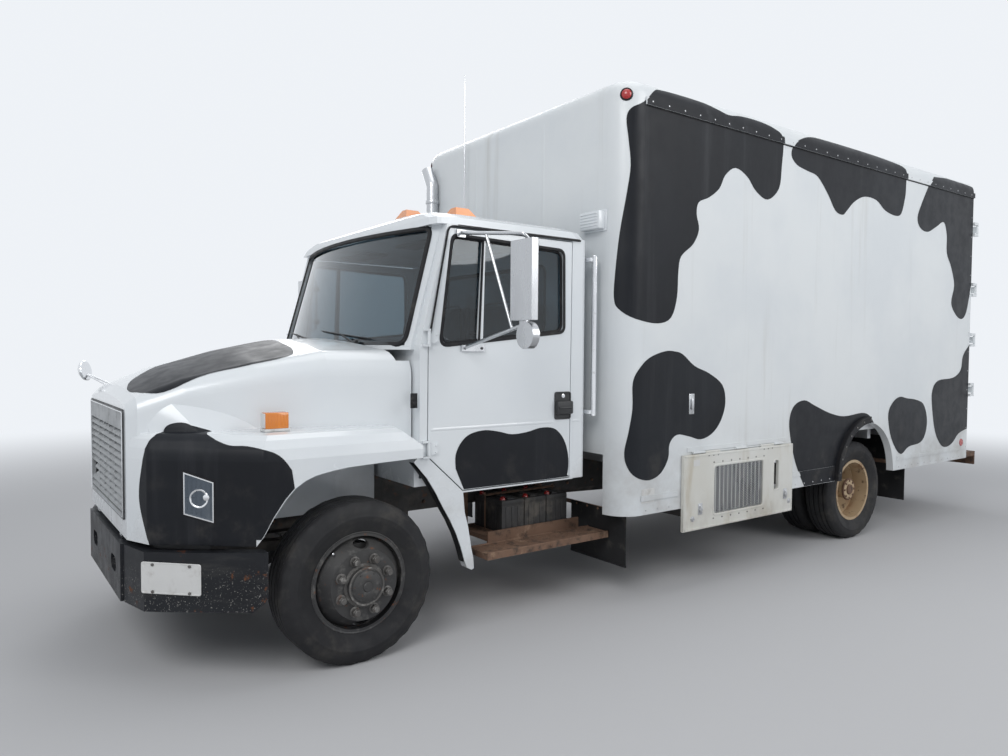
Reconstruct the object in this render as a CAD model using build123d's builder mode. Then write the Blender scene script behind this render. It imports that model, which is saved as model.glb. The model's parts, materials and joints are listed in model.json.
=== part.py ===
from build123d import *
import os
from math import cos, radians, sin

os.makedirs("parts", exist_ok=True)

# A medium box truck in millimetres: forward is -Y, the driver's side is +X, +Z is up.
# Places along the truck are given as a distance behind the front axle and turned into Y by at().

# Overall reach and axles
front_reach = 1020.0
rear_reach = 6840.0
wheelbase = 4630.0
axle_height = 420.0
front_axle_y = (front_reach - rear_reach) / 2
small_gap = 0.3
box_half = 1219.0
cab_half = 1010.0
step_reach = 299.0
box_rear = rear_reach - step_reach


def at(behind_front_axle):
    """Y of a place that lies this far behind the front axle."""
    return front_axle_y + behind_front_axle


def side_plane(x):
    """Plane seen from the driver's side at this X: sketch x runs forward to back, sketch y is up."""
    return Plane(origin=(x, 0, 0), x_dir=(0, 1, 0), z_dir=(1, 0, 0))


def front_plane(y):
    """Plane across the truck at this Y, seen from the front: sketch x is the truck's X, sketch y is up."""
    return Plane(origin=(0, y, 0), x_dir=(1, 0, 0), z_dir=(0, -1, 0))


def wheel_plane(x, y):
    """Plane through a wheel's axis, for turned profiles: sketch x is outward, y is the radius."""
    return Plane(origin=(x, y, axle_height), x_dir=(1, 0, 0), z_dir=(0, -1, 0))


def wheel_axis(x, y):
    """Axis of a wheel, pointing to the driver's side."""
    return Axis((x, y, axle_height), (1, 0, 0))


def block(x_low, x_high, y_low, y_high, z_low, z_high, mode=Mode.ADD):
    """A box between two corners."""
    with Locations(((x_low + x_high) / 2, (y_low + y_high) / 2, (z_low + z_high) / 2)):
        return Box(x_high - x_low, y_high - y_low, z_high - z_low, mode=mode)


def tube_run(points, bend, radius):
    """A round bar or pipe along points, its corners rounded to the bend radius."""
    with BuildPart() as run:
        with BuildLine() as route:
            FilletPolyline(*points, radius=bend)
        with BuildSketch(Plane(origin=route.line @ 0, z_dir=route.line % 0)):
            Circle(radius)
        sweep(path=route.line)
    return run.part


def straight_bar(start, end, radius):
    """A round bar between two points."""
    line = Vector(*end) - Vector(*start)
    with BuildPart() as bar:
        with BuildSketch(Plane(origin=start, z_dir=line)):
            Circle(radius)
        extrude(amount=line.length)
    return bar.part


# Chassis frame
rail_outer = box_half - 787.0
rail_flange = 76.0
rail_wall = 8.0
rail_depth = 254.0
frame_top = 860.0
frame_bottom = frame_top - rail_depth
rail_front = -850.0
rail_rear = box_rear - 111.0
cross_depth = 140.0
cross_width = 70.0
cross_places = [-790.0, 420.0, 1450.0, 2700.0, 3850.0, 5350.0, rail_rear - 100.0]

with BuildPart() as chassis_frame:
    with BuildSketch(front_plane(at(rail_front))):
        for side in (1, -1):
            with Locations((side * (rail_outer - rail_flange / 2), frame_top - rail_depth / 2)):
                Rectangle(rail_flange, rail_depth)
            with Locations((side * (rail_outer - rail_wall - rail_flange / 2), frame_top - rail_depth / 2)):
                Rectangle(rail_flange, rail_depth - 2 * rail_wall, mode=Mode.SUBTRACT)
    extrude(amount=rail_front - rail_rear)
    for place in cross_places:
        web = rail_outer - rail_wall
        top = frame_top - rail_wall - small_gap
        with BuildSketch(side_plane(-web)):
            with Locations((at(place), top - cross_depth / 2)):
                Rectangle(cross_width, cross_depth)
            with Locations((at(place) + rail_wall, top - cross_depth / 2)):
                Rectangle(cross_width, cross_depth - 2 * rail_wall, mode=Mode.SUBTRACT)
        extrude(amount=2 * web)
chassis_frame.part.label = "chassis_frame"
export_step(chassis_frame.part, "parts/chassis_frame.step")

# Tyres and wheels. One table per wheel: name, tyre centre X, disc face X, axle Y
tyre_radius = axle_height
tyre_width = 248.0
tread_width = 206.0
sidewall_radius = 338.0
shoulder_radius = tyre_radius - 18.0
bead_radius = 248.0
bead_gap = 0.6
rim_half = 92.0
flange_radius = 262.0
barrel_wall = 9.0
disc_offset = 143.0
disc_wall = 12.0
stud_circle = 137.5
stud_count = 8
nut_radius = 16.0
nut_length = 34.0
hub_radius = 96.0
drum_radius = 196.0
spindle_radius = 34.0
running_fit = 0.05
front_tyre_x = 940.0
dual_outer_x = box_half - 219.0
dual_spacing = 280.0
dual_inner_x = dual_outer_x - dual_spacing
rear_axle_y = at(wheelbase)


def tyre_section():
    """Section of a tyre from bead to bead, sketch x along the axle and y the radius."""
    bead = rim_half - barrel_wall
    half = [
        (bead - bead_gap, bead_radius + small_gap), (rim_half - bead_gap, flange_radius + small_gap),
        (tyre_width / 2, sidewall_radius), (tread_width / 2 + 2, shoulder_radius),
        (tread_width / 2 - 14, tyre_radius),
    ]
    other = [(-x, radius) for x, radius in reversed(half)]
    with BuildSketch() as section:
        with BuildLine():
            Polyline(*half, *other, half[0])
        make_face()
    return section.sketch


def tyre(x, y):
    """One tyre round the axle line at x, y."""
    with BuildPart() as one:
        with BuildSketch(wheel_plane(x, y)):
            add(tyre_section())
        revolve(axis=wheel_axis(x, y))
    return one.part


def rim(x, y, out):
    """One steel wheel: barrel with two flanges and a dished disc that bulges towards out (1 or -1)."""
    bead = rim_half - barrel_wall
    well = bead_radius - barrel_wall
    with BuildPart() as one:
        with BuildSketch(wheel_plane(x, y)):
            with BuildLine():
                Polyline(
                    (-rim_half, flange_radius), (-bead, bead_radius), (bead, bead_radius),
                    (rim_half, flange_radius), (rim_half, well), (-rim_half, well), (-rim_half, flange_radius),
                )
            make_face()
        revolve(axis=wheel_axis(x, y))
        face_x = out * disc_offset
        with BuildSketch(wheel_plane(x, y)):
            with BuildLine():
                Polyline(
                    (out * 36, well + 1), (out * 36, well - 14), (face_x - out * disc_wall, 176),
                    (face_x - out * disc_wall, 0), (face_x, 0), (face_x, 180),
                    (out * 52, well - 2), (out * 52, well + 1), (out * 36, well + 1),
                )
            make_face()
        revolve(axis=wheel_axis(x, y))
        hand_hole_circle = 212.0
        for angle in (90, 270):
            with BuildSketch(Plane(origin=(x, y, axle_height), x_dir=(0, 1, 0), z_dir=(1, 0, 0))):
                with PolarLocations(hand_hole_circle - 10, 1, start_angle=angle):
                    Ellipse(19, 42)
            extrude(amount=out * 200, mode=Mode.SUBTRACT)
    return one.part


def nuts(x_from, x_to, y):
    """Ring of wheel nuts between two X places."""
    with BuildPart() as ring:
        with BuildSketch(Plane(origin=(x_from, y, axle_height), x_dir=(0, 1, 0), z_dir=(1, 0, 0))):
            with PolarLocations(stud_circle, stud_count, start_angle=22.5):
                RegularPolygon(nut_radius, 6)
        extrude(amount=x_to - x_from)
    return ring.part


def disc(x_from, x_to, y, radius, bore=0.0):
    """A round slab or ring about the axle line."""
    with BuildPart() as one:
        with BuildSketch(Plane(origin=(x_from, y, axle_height), x_dir=(0, 1, 0), z_dir=(1, 0, 0))):
            Circle(radius)
            if bore > 0:
                Circle(bore, mode=Mode.SUBTRACT)
        extrude(amount=x_to - x_from)
    return one.part


hub_bore = spindle_radius + running_fit
front_face_x = front_tyre_x + disc_offset
spindle_end = front_face_x - disc_wall - 4.0
hub_inner = 906.0
dual_face_x = dual_outer_x - disc_offset + 3.0
rear_hub_inner = dual_inner_x - 44.0
rear_hub_end = dual_outer_x + 62.0
rear_spindle_end = dual_outer_x - 100.0

with BuildPart() as wheel_front_left:
    add(rim(front_tyre_x, front_axle_y, 1))
    add(disc(hub_inner, front_face_x, front_axle_y, hub_radius + 60, 0))
    add(disc(hub_inner, front_face_x + 30, front_axle_y, hub_radius))
    add(disc(hub_inner, front_tyre_x + 60, front_axle_y, drum_radius))
    add(disc(hub_inner - 1, spindle_end, front_axle_y, hub_bore), mode=Mode.SUBTRACT)
    add(nuts(front_face_x, front_face_x + nut_length, front_axle_y))
with BuildPart() as wheel_front_right:
    add(wheel_front_left.part)
    mirror(about=Plane.YZ, mode=Mode.REPLACE)
with BuildPart() as tyre_front_left:
    add(tyre(front_tyre_x, front_axle_y))
with BuildPart() as tyre_front_right:
    add(tyre(-front_tyre_x, front_axle_y))

with BuildPart() as wheels_rear_left:
    add(rim(dual_outer_x, rear_axle_y, -1))
    add(rim(dual_inner_x, rear_axle_y, 1))
    add(disc(rear_hub_inner, rear_hub_end, rear_axle_y, hub_radius - 14))
    add(disc(rear_hub_inner, dual_face_x - disc_wall, rear_axle_y, drum_radius))
    add(disc(rear_hub_inner - 1, rear_spindle_end, rear_axle_y, hub_bore), mode=Mode.SUBTRACT)
    add(nuts(dual_face_x - 4, dual_face_x + nut_length + 14, rear_axle_y))
with BuildPart() as wheels_rear_right:
    add(wheels_rear_left.part)
    mirror(about=Plane.YZ, mode=Mode.REPLACE)
with BuildPart() as tyres_rear_left:
    add(tyre(dual_outer_x, rear_axle_y))
    add(tyre(dual_inner_x, rear_axle_y))
with BuildPart() as tyres_rear_right:
    add(tyre(-dual_outer_x, rear_axle_y))
    add(tyre(-dual_inner_x, rear_axle_y))

rolling_parts = {
    "wheel_front_left": wheel_front_left, "wheel_front_right": wheel_front_right,
    "tyre_front_left": tyre_front_left, "tyre_front_right": tyre_front_right,
    "wheels_rear_left": wheels_rear_left, "wheels_rear_right": wheels_rear_right,
    "tyres_rear_left": tyres_rear_left, "tyres_rear_right": tyres_rear_right,
}
for node, piece in rolling_parts.items():
    piece.part.label = node
    export_step(piece.part, f"parts/{node}.step")

# Front axle, springs, steering
kingpin_x = 780.0
kingpin_radius = 20.0
eye_half = 62.0
eye_radius = 42.0
beam_low = 352.0
beam_high = 446.0
beam_half_width = 42.0
spring_x = rail_outer - rail_flange / 2
spring_width = 76.0
spring_half = 610.0
spring_low = 470.0
spring_high = 540.0
arm_reach = 200.0
arm_low = 330.0
arm_high = 350.0

with BuildPart() as front_axle:
    with BuildSketch(front_plane(front_axle_y + beam_half_width)):
        with BuildLine():
            Polyline(
                (-kingpin_x, axle_height + 40), (-kingpin_x + 90, axle_height + 40), (-560, beam_high),
                (560, beam_high), (kingpin_x - 90, axle_height + 40), (kingpin_x, axle_height + 40),
                (kingpin_x, axle_height - 40), (kingpin_x - 110, axle_height - 40), (540, beam_low),
                (-540, beam_low), (-kingpin_x + 110, axle_height - 40), (-kingpin_x, axle_height - 40),
                (-kingpin_x, axle_height + 40),
            )
        make_face()
    extrude(amount=2 * beam_half_width)
    for side in (1, -1):
        with Locations((side * kingpin_x, front_axle_y, axle_height)):
            Cylinder(eye_radius, 2 * eye_half)
        block(side * spring_x - 50, side * spring_x + 50, front_axle_y - 60, front_axle_y + 60,
              beam_high - 6, spring_low + 1)
        with BuildSketch(side_plane(side * spring_x - spring_width / 2)):
            with BuildLine():
                Polyline((at(-spring_half), 540), (at(-spring_half + 60), 530))
                Line((at(-spring_half + 60), 530), (at(0) - 120, spring_low))
                Line((at(0) - 120, spring_low), (at(0) + 120, spring_low))
                Line((at(0) + 120, spring_low), (at(spring_half - 60), 530))
                Line((at(spring_half - 60), 530), (at(spring_half), 540))
                Line((at(spring_half), 540), (at(spring_half), frame_bottom))
                Line((at(spring_half), frame_bottom), (at(spring_half - 50), frame_bottom))
                Line((at(spring_half - 50), frame_bottom), (at(spring_half - 50), 560))
                Line((at(spring_half - 50), 560), (at(0), spring_high - 10))
                Line((at(0), spring_high - 10), (at(-spring_half + 50), 560))
                Line((at(-spring_half + 50), 560), (at(-spring_half + 50), frame_bottom))
                Line((at(-spring_half + 50), frame_bottom), (at(-spring_half), frame_bottom))
                Line((at(-spring_half), frame_bottom), (at(-spring_half), 540))
            make_face()
        extrude(amount=spring_width)
    for side in (1, -1):
        with Locations((side * kingpin_x, front_axle_y, axle_height)):
            Cylinder(kingpin_radius + running_fit, 4 * eye_half, mode=Mode.SUBTRACT)
front_axle.part.label = "front_axle"
export_step(front_axle.part, "parts/front_axle.step")

yoke_gap = 3.0
yoke_wall = 34.0
yoke_inner = eye_half + yoke_gap
yoke_outer = yoke_inner + yoke_wall
stub_inner = kingpin_x + eye_radius + 8.0
rod_pin_radius = 12.0
rod_z = 372.0

with BuildPart() as knuckle_left:
    for low in (axle_height + yoke_inner, axle_height - yoke_outer):
        with BuildSketch(Plane.XY.offset(low)):
            with Locations((kingpin_x, front_axle_y)):
                Circle(eye_radius)
            with Locations((kingpin_x + 40, front_axle_y)):
                Rectangle(80, 2 * eye_radius - 10)
        extrude(amount=yoke_wall)
    block(stub_inner, stub_inner + 30, front_axle_y - 60, front_axle_y + 60,
          axle_height - yoke_outer, axle_height + yoke_outer)
    add(disc(stub_inner, spindle_end - 4, front_axle_y, spindle_radius))
    with Locations((kingpin_x, front_axle_y, axle_height)):
        Cylinder(kingpin_radius, 2 * yoke_outer)
    with BuildSketch(Plane.XY.offset(arm_low)):
        with Locations((kingpin_x, front_axle_y + arm_reach / 2)):
            Rectangle(44, arm_reach)
        with Locations((kingpin_x, front_axle_y + arm_reach)):
            Circle(22)
    extrude(amount=arm_high - arm_low)
    with Locations((kingpin_x, front_axle_y + arm_reach, (arm_low + arm_high) / 2)):
        Cylinder(rod_pin_radius + running_fit, 40, mode=Mode.SUBTRACT)
knuckle_left.part.label = "knuckle_left"
export_step(knuckle_left.part, "parts/knuckle_left.step")

open_pin_clearance = 3.0
rod_radius = 15.0
with BuildPart() as knuckle_right:
    add(knuckle_left.part)
    mirror(about=Plane.YZ, mode=Mode.REPLACE)
    with Locations((-kingpin_x, front_axle_y + arm_reach, (arm_low + arm_high) / 2)):
        Cylinder(rod_pin_radius + open_pin_clearance, 40, mode=Mode.SUBTRACT)
knuckle_right.part.label = "knuckle_right"
export_step(knuckle_right.part, "parts/knuckle_right.step")

with BuildPart() as tie_rod:
    rod_y = front_axle_y + arm_reach
    add(straight_bar((-kingpin_x, rod_y, rod_z), (kingpin_x, rod_y, rod_z), rod_radius))
    for side in (1, -1):
        with Locations((side * kingpin_x, front_axle_y + arm_reach, rod_z)):
            Cylinder(24, 36)
        with Locations((side * kingpin_x, front_axle_y + arm_reach, (arm_low + rod_z) / 2 - 8)):
            Cylinder(rod_pin_radius, rod_z - arm_low + 16)
tie_rod.part.label = "tie_rod"
export_step(tie_rod.part, "parts/tie_rod.step")

# Rear axle, springs and drive shaft
axle_tube_radius = 62.0
differential_radius = 185.0
rear_spring_x = rail_outer + 54.0
rear_spring_half = 640.0
shaft_radius = 48.0
shaft_front = 420.0
shaft_front_z = 600.0

differential_places = [(0.0, 1.0), (34.0, 1.0), (96.0, 0.82), (160.0, 0.36)]


def differential(grow):
    """The axle's middle as a turned body: half widths with their shares of the largest radius."""
    edge = [
        (x + (grow if x else 0), share * differential_radius + grow)
        for x, share in differential_places[1:]
    ]
    edge.append((edge[-1][0], 0))
    other = [(-x, radius) for x, radius in reversed(edge)]
    with BuildPart() as body:
        with BuildSketch(wheel_plane(0, rear_axle_y)):
            with BuildLine():
                Polyline(*edge, *other, edge[0])
            make_face()
        revolve(axis=wheel_axis(0, rear_axle_y))
    return body.part


with BuildPart() as rear_axle:
    add(disc(-rear_hub_inner + 12, rear_hub_inner - 12, rear_axle_y, axle_tube_radius))
    add(disc(-rear_spindle_end + 4, rear_spindle_end - 4, rear_axle_y, spindle_radius))
    add(differential(0))
    for side in (1, -1):
        low_x = side * rear_spring_x - spring_width / 2
        block(low_x, low_x + spring_width, rear_axle_y - 60, rear_axle_y + 60, axle_height, 500)
        with BuildSketch(side_plane(low_x)):
            with BuildLine():
                Polyline(
                    (rear_axle_y - rear_spring_half, 640), (rear_axle_y - rear_spring_half, 580),
                    (rear_axle_y - 120, 492), (rear_axle_y + 120, 492),
                    (rear_axle_y + rear_spring_half, 580), (rear_axle_y + rear_spring_half, 640),
                    (rear_axle_y + rear_spring_half - 70, 640), (rear_axle_y + 100, 580),
                    (rear_axle_y - 100, 580), (rear_axle_y - rear_spring_half + 70, 640),
                    (rear_axle_y - rear_spring_half, 640),
                )
            make_face()
        extrude(amount=spring_width)
        for end in (-1, 1):
            hanger_y = rear_axle_y + end * (rear_spring_half - 35)
            block(min(side * rail_outer, low_x + (0 if side > 0 else spring_width)),
                  max(side * rail_outer, low_x + (0 if side > 0 else spring_width)),
                  hanger_y - 35, hanger_y + 35, frame_bottom, 700)
            block(low_x, low_x + spring_width, hanger_y - 35, hanger_y + 35, 620, 700)
rear_axle.part.label = "rear_axle"
export_step(rear_axle.part, "parts/rear_axle.step")

shaft_rear_y = rear_axle_y - differential_radius - 40.0
with BuildPart() as drive_shaft:
    shaft_start = (0, at(shaft_front) + 3, shaft_front_z)
    add(straight_bar(shaft_start, (0, shaft_rear_y, axle_height + 20), shaft_radius))
    flange_y = rear_axle_y - differential_radius - small_gap + 4
    add(straight_bar((0, shaft_rear_y - 20, axle_height + 20), (0, flange_y, axle_height + 6), 66))
    add(differential(small_gap), mode=Mode.SUBTRACT)
drive_shaft.part.label = "drive_shaft"
export_step(drive_shaft.part, "parts/drive_shaft.step")

# Engine block with its gearbox, and the radiator in front of it
engine_half = rail_outer - 112.0
engine_front = -690.0
engine_rear = 240.0
engine_low = 560.0
engine_high = 1180.0

with BuildPart() as engine_block:
    block(-engine_half, engine_half, at(engine_front), at(engine_rear), engine_low, engine_high)
    block(-160, 160, at(engine_rear) - 1, at(shaft_front) - 36, 580, 800)
    for place in (engine_front + 180, engine_rear - 160):
        block(-rail_outer + rail_wall, rail_outer - rail_wall, at(place) - 45, at(place) + 45, 700, 740)
    output_start = (0, at(shaft_front) - 40, shaft_front_z + 2)
    add(straight_bar(output_start, (0, at(shaft_front) - small_gap, shaft_front_z), 60))
engine_block.part.label = "engine_block"
export_step(engine_block.part, "parts/engine_block.step")

radiator_front = -840.0
radiator_rear = -750.0
with BuildPart() as radiator:
    block(-400, 400, at(radiator_front), at(radiator_rear), frame_top, 1200)
radiator.part.label = "radiator"
export_step(radiator.part, "parts/radiator.step")

# Front bumper, with the ears and pins the hood tips on
hood_pin_y = -985.0
hood_pin_z = 672.0
hood_pin_radius = 7.0
hood_ear = (380.0, 396.0)
hood_ear_radius = 9.0
hood_lug = (352.0, 376.0)
hood_lug_radius = 12.0
bumper_low = 372.0
bumper_high = 655.0
bumper_wall = 60.0
bumper_chamfer = 45.0
bumper_horn_half = 38.0
bumper_places = [(520.0, -1005.0), (720.0, -955.0), (895.0, -735.0), (1060.0, -500.0)]


def nose_plan(inset, rear, places):
    """Closed plan outline of the nose, its corners given as (half width, place), inset by a wall."""
    front = [(x - inset * 0.75, at(y) + inset) for x, y in places]
    loop = [(-x, y) for x, y in front]
    points = [(front[-1][0], rear)] + front[::-1] + loop + [(loop[-1][0], rear)]
    with BuildSketch() as plan:
        with BuildLine():
            Polyline(*points, points[0])
        make_face()
    return plan.sketch


with BuildPart() as front_bumper:
    with BuildSketch(Plane.XY.offset(bumper_low)):
        add(nose_plan(0, at(-480.0), bumper_places))
    extrude(amount=bumper_high - bumper_low)
    block(-500, 500, at(-front_reach), at(-980), bumper_low, bumper_high)
    with BuildSketch(Plane.XY.offset(bumper_low - 1)):
        add(nose_plan(bumper_wall, at(-400.0), bumper_places))
    extrude(amount=bumper_high - bumper_low + 2, mode=Mode.SUBTRACT)
    with BuildSketch(side_plane(-bumper_places[-1][0] - 10)):
        with BuildLine():
            tail = bumper_places[-1][1]
            Polyline(
                (at(tail) - bumper_chamfer, bumper_low - 2), (at(tail) + 30, bumper_low - 2),
                (at(tail) + 30, bumper_low + bumper_chamfer + 30), (at(tail) - bumper_chamfer, bumper_low - 2),
            )
        make_face()
    extrude(amount=2 * bumper_places[-1][0] + 20, mode=Mode.SUBTRACT)
    for side in (1, -1):
        with BuildSketch(front_plane(at(-900.0))):
            with Locations((side * 300, 520)):
                SlotOverall(150, 80)
        extrude(amount=200, mode=Mode.SUBTRACT)
        horn_x = side * (rail_outer - bumper_horn_half)
        block(horn_x - bumper_horn_half, horn_x + bumper_horn_half, at(-950), at(rail_front), frame_bottom,
              bumper_high - 15)
        ear_x = sorted((side * hood_ear[0], side * hood_ear[1]))
        ear_front = at(hood_pin_y) - hood_ear_radius
        ear_rear = at(hood_pin_y) + hood_ear_radius
        block(ear_x[0], ear_x[1], ear_front, ear_rear, bumper_high - 1, hood_pin_z)
        with Locations((side * (hood_ear[0] + hood_ear[1]) / 2, at(hood_pin_y), hood_pin_z)):
            Cylinder(hood_ear_radius, hood_ear[1] - hood_ear[0], rotation=(0, 90, 0))
        with Locations((side * (hood_lug[0] + hood_ear[1]) / 2, at(hood_pin_y), hood_pin_z)):
            Cylinder(hood_pin_radius, hood_ear[1] - hood_lug[0], rotation=(0, 90, 0))
front_bumper.part.label = "front_bumper"
export_step(front_bumper.part, "parts/front_bumper.step")

# Cab sizes, which the hood also meets
cab_front = 360.0
cab_rear = 1569.0
cab_low = 815.0
cab_wall = 45.0
cab_corner = 45.0
side_wall = 60.0
cab_floor_top = 905.0
roof_low = 2305.0
roof_top = 2512.0
cowl_z = 1612.0
screen_low = (330.0, 1640.0)
screen_high = (530.0, 2335.0)
screen_sag = 150.0
screen_open_low = 1636.0
screen_open_high = 2300.0
screen_half = cab_half - side_wall - small_gap
screen_wall = 34.0
glass_wall = 8.0
door_wall = 46.0
door_hinge_x = cab_half + 14.0
door_hinge_y = at(410.0)
door_hinge_heights = [1072.0, 1678.0]
door_pin_radius = 5.0
door_knuckle_radius = 10.0
door_barrel = 70.0
door_knuckle = 12.0
door_gap = 7.0
door_places = [
    (412.0, 1034.0), (641.0, 826.0), (1426.0, 826.0), (1436.0, 2282.0), (545.0, 2282.0), (416.0, 1640.0),
]


cowl_edge = at(screen_low[0]) - 20

# Hood: a lofted bonnet, two fenders and the cheeks that join them, in one moulded shell
hood_wall = 14.0
hood_low = 686.0
hood_front = -1000.0
hood_rear = 348.0
# Bonnet sections: place, half width, top at the shoulders, rise to the middle, radius of the shoulders
bonnet_sections = [
    (hood_front, 562.0, 1332.0, 36.0, 60.0),
    (-955.0, 608.0, 1376.0, 38.0, 80.0),
    (-750.0, 657.0, 1459.0, 46.0, 95.0),
    (-420.0, 739.0, 1543.0, 54.0, 115.0),
    (-80.0, 826.0, 1608.0, 62.0, 135.0),
    (hood_rear, cab_half - 72.0, 1617.0, 71.0, 150.0),
]
fender_top = 1208.0
fender_upright = 1085.0
# Plan corners of a fender: half width and place, below its rounding and where its flat top starts
fender_places = [(560.0, -1000.0), (715.0, -935.0), (880.0, -722.0), (1070.0, -505.0)]
fender_top_places = [(540.0, -990.0), (640.0, -885.0), (786.0, -662.0), (968.0, -440.0)]
fender_round_angles = [0.0, 25.0, 50.0, 70.0, 90.0]
fender_tail = [(205.0, 1212.0), (420.0, 1048.0)]
cheek_rear = -300.0
cheek_low = (1150.0, [(540.0, -986.0), (648.0, -886.0), (796.0, -668.0), (748.0, -310.0)])
cheek_high = (1352.0, [(520.0, -975.0), (578.0, -948.0), (634.0, -818.0), (700.0, -430.0)])
arch_places = [
    (-548.0, 650.0), (-531.0, 688.0), (-455.0, 816.0), (-400.0, 893.0), (-351.0, 945.0), (-300.0, 978.0),
    (-244.0, 999.0), (-160.0, 1014.0), (-76.0, 1024.0), (102.0, 1032.0), (257.0, 1037.0), (430.0, 1037.0),
]


def bonnet_section(half, top, rise, round_over, inset, low):
    """Bonnet section: straight sides, round shoulders and a slightly arched top."""
    x = half - inset
    z = top - inset
    corner = round_over * 0.293
    with BuildSketch() as section:
        with BuildLine():
            Line((-x, low), (-x, z - round_over))
            ThreePointArc((-x, z - round_over), (-x + corner, z - corner), (-x + round_over, z))
            ThreePointArc((-x + round_over, z), (0, z + rise), (x - round_over, z))
            ThreePointArc((x - round_over, z), (x - corner, z - corner), (x, z - round_over))
            Polyline((x, z - round_over), (x, low), (-x, low))
        make_face()
    return section.sketch


def bonnet(inset, extra):
    """The lofted middle of the hood, or its hollow when inset."""
    with BuildPart() as one:
        for place, half, top, rise, round_over in bonnet_sections:
            shift = inset if place < -900 else 0
            if place == hood_rear:
                shift = extra
            with BuildSketch(front_plane(at(place) + shift)):
                add(bonnet_section(half, top, rise, round_over, inset, hood_low - extra))
        loft(ruled=True)
    return one.part


def fenders(inset, extra):
    """Both fenders as one block, or their hollow when inset."""
    rear = at(hood_rear) + extra
    with BuildPart() as one:
        with BuildSketch(Plane.XY.offset(hood_low - extra)):
            add(nose_plan(inset, rear, fender_places))
        for angle in fender_round_angles:
            rise = sin(radians(angle))
            lean = 1 - cos(radians(angle))
            places = [
                (x + (top_x - x) * lean, y + (top_y - y) * lean)
                for (x, y), (top_x, top_y) in zip(fender_places, fender_top_places)
            ]
            z = fender_upright + (fender_top - inset - fender_upright) * rise
            with BuildSketch(Plane.XY.offset(z)):
                add(nose_plan(inset, rear, places))
        loft(ruled=True)
        drop = inset * 1.3
        (tail_front, tail_top), (tail_rear, tail_low) = fender_tail
        with BuildSketch(side_plane(-1200)):
            with BuildLine():
                Polyline((at(tail_front), tail_top - drop), (at(tail_rear), tail_low - drop),
                         (at(tail_rear), tail_top + 100), (at(tail_front), tail_top + 100),
                         (at(tail_front), tail_top - drop))
            make_face()
        extrude(amount=2400, mode=Mode.SUBTRACT)
    return one.part


def cheeks(inset):
    """The sloping cheeks between bonnet and fenders at the nose, or their hollow when inset."""
    with BuildPart() as one:
        for z, places in (cheek_low, cheek_high):
            with BuildSketch(Plane.XY.offset(z - inset)):
                add(nose_plan(inset, at(cheek_rear) - inset, places))
        loft(ruled=True)
    return one.part


def arch_cutter(x_from, x_to):
    """Wheel arch opening of the hood as a block between two X places."""
    points = [(at(y), z) for y, z in arch_places]
    with BuildPart() as one:
        with BuildSketch(side_plane(x_from)):
            with BuildLine():
                Polyline(*points, (points[-1][0], 600.0), (points[0][0], 600.0), points[0])
            make_face()
        extrude(amount=x_to - x_from)
    return one.part


# Headlamps: one in each slanted nose panel, their outline as (along the panel, height) from the lamp's middle
lamp_middle = (866.0, -740.0, 912.0)
lamp_corners = [(-72.0, 121.0), (72.0, 74.0), (72.0, -118.0), (-72.0, -79.0)]
lamp_along = Vector(165.0, 213.0, 0).normalized()


def headlamp(side, grow, inner, outer):
    """A headlamp block in the nose panel, from inner to outer depth about the panel's face."""
    plane = Plane(origin=(lamp_middle[0], at(lamp_middle[1]), lamp_middle[2]), x_dir=lamp_along,
                  z_dir=(lamp_along.Y, -lamp_along.X, 0))
    with BuildPart() as lamp:
        with BuildSketch(plane.offset(inner)):
            with BuildLine():
                Polyline(*lamp_corners, lamp_corners[0])
            make_face()
            if grow > 0:
                offset(amount=grow, kind=Kind.INTERSECTION)
        extrude(amount=outer - inner)
        if side < 0:
            mirror(about=Plane.YZ, mode=Mode.REPLACE)
    return lamp.part


liner_x = 505.0
liner_wall = 10.0
liner_front = -575.0
liner_rear = 335.0
liner_top = fender_top - hood_wall
with BuildPart() as liners:
    for side in (1, -1):
        wall = sorted((side * liner_x, side * (liner_x + liner_wall)))
        block(wall[0], wall[1], at(liner_front), at(liner_rear), hood_low, liner_top + 1)
        shelf = sorted((side * liner_x, side * 1000.0))
        block(shelf[0], shelf[1], at(liner_front), at(liner_rear), liner_top - liner_wall, liner_top + 1)
        block(shelf[0], shelf[1], at(liner_front), at(liner_front) + liner_wall, hood_low, liner_top + 1)
    add(fenders(hood_wall / 2, 0), mode=Mode.INTERSECT)

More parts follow.
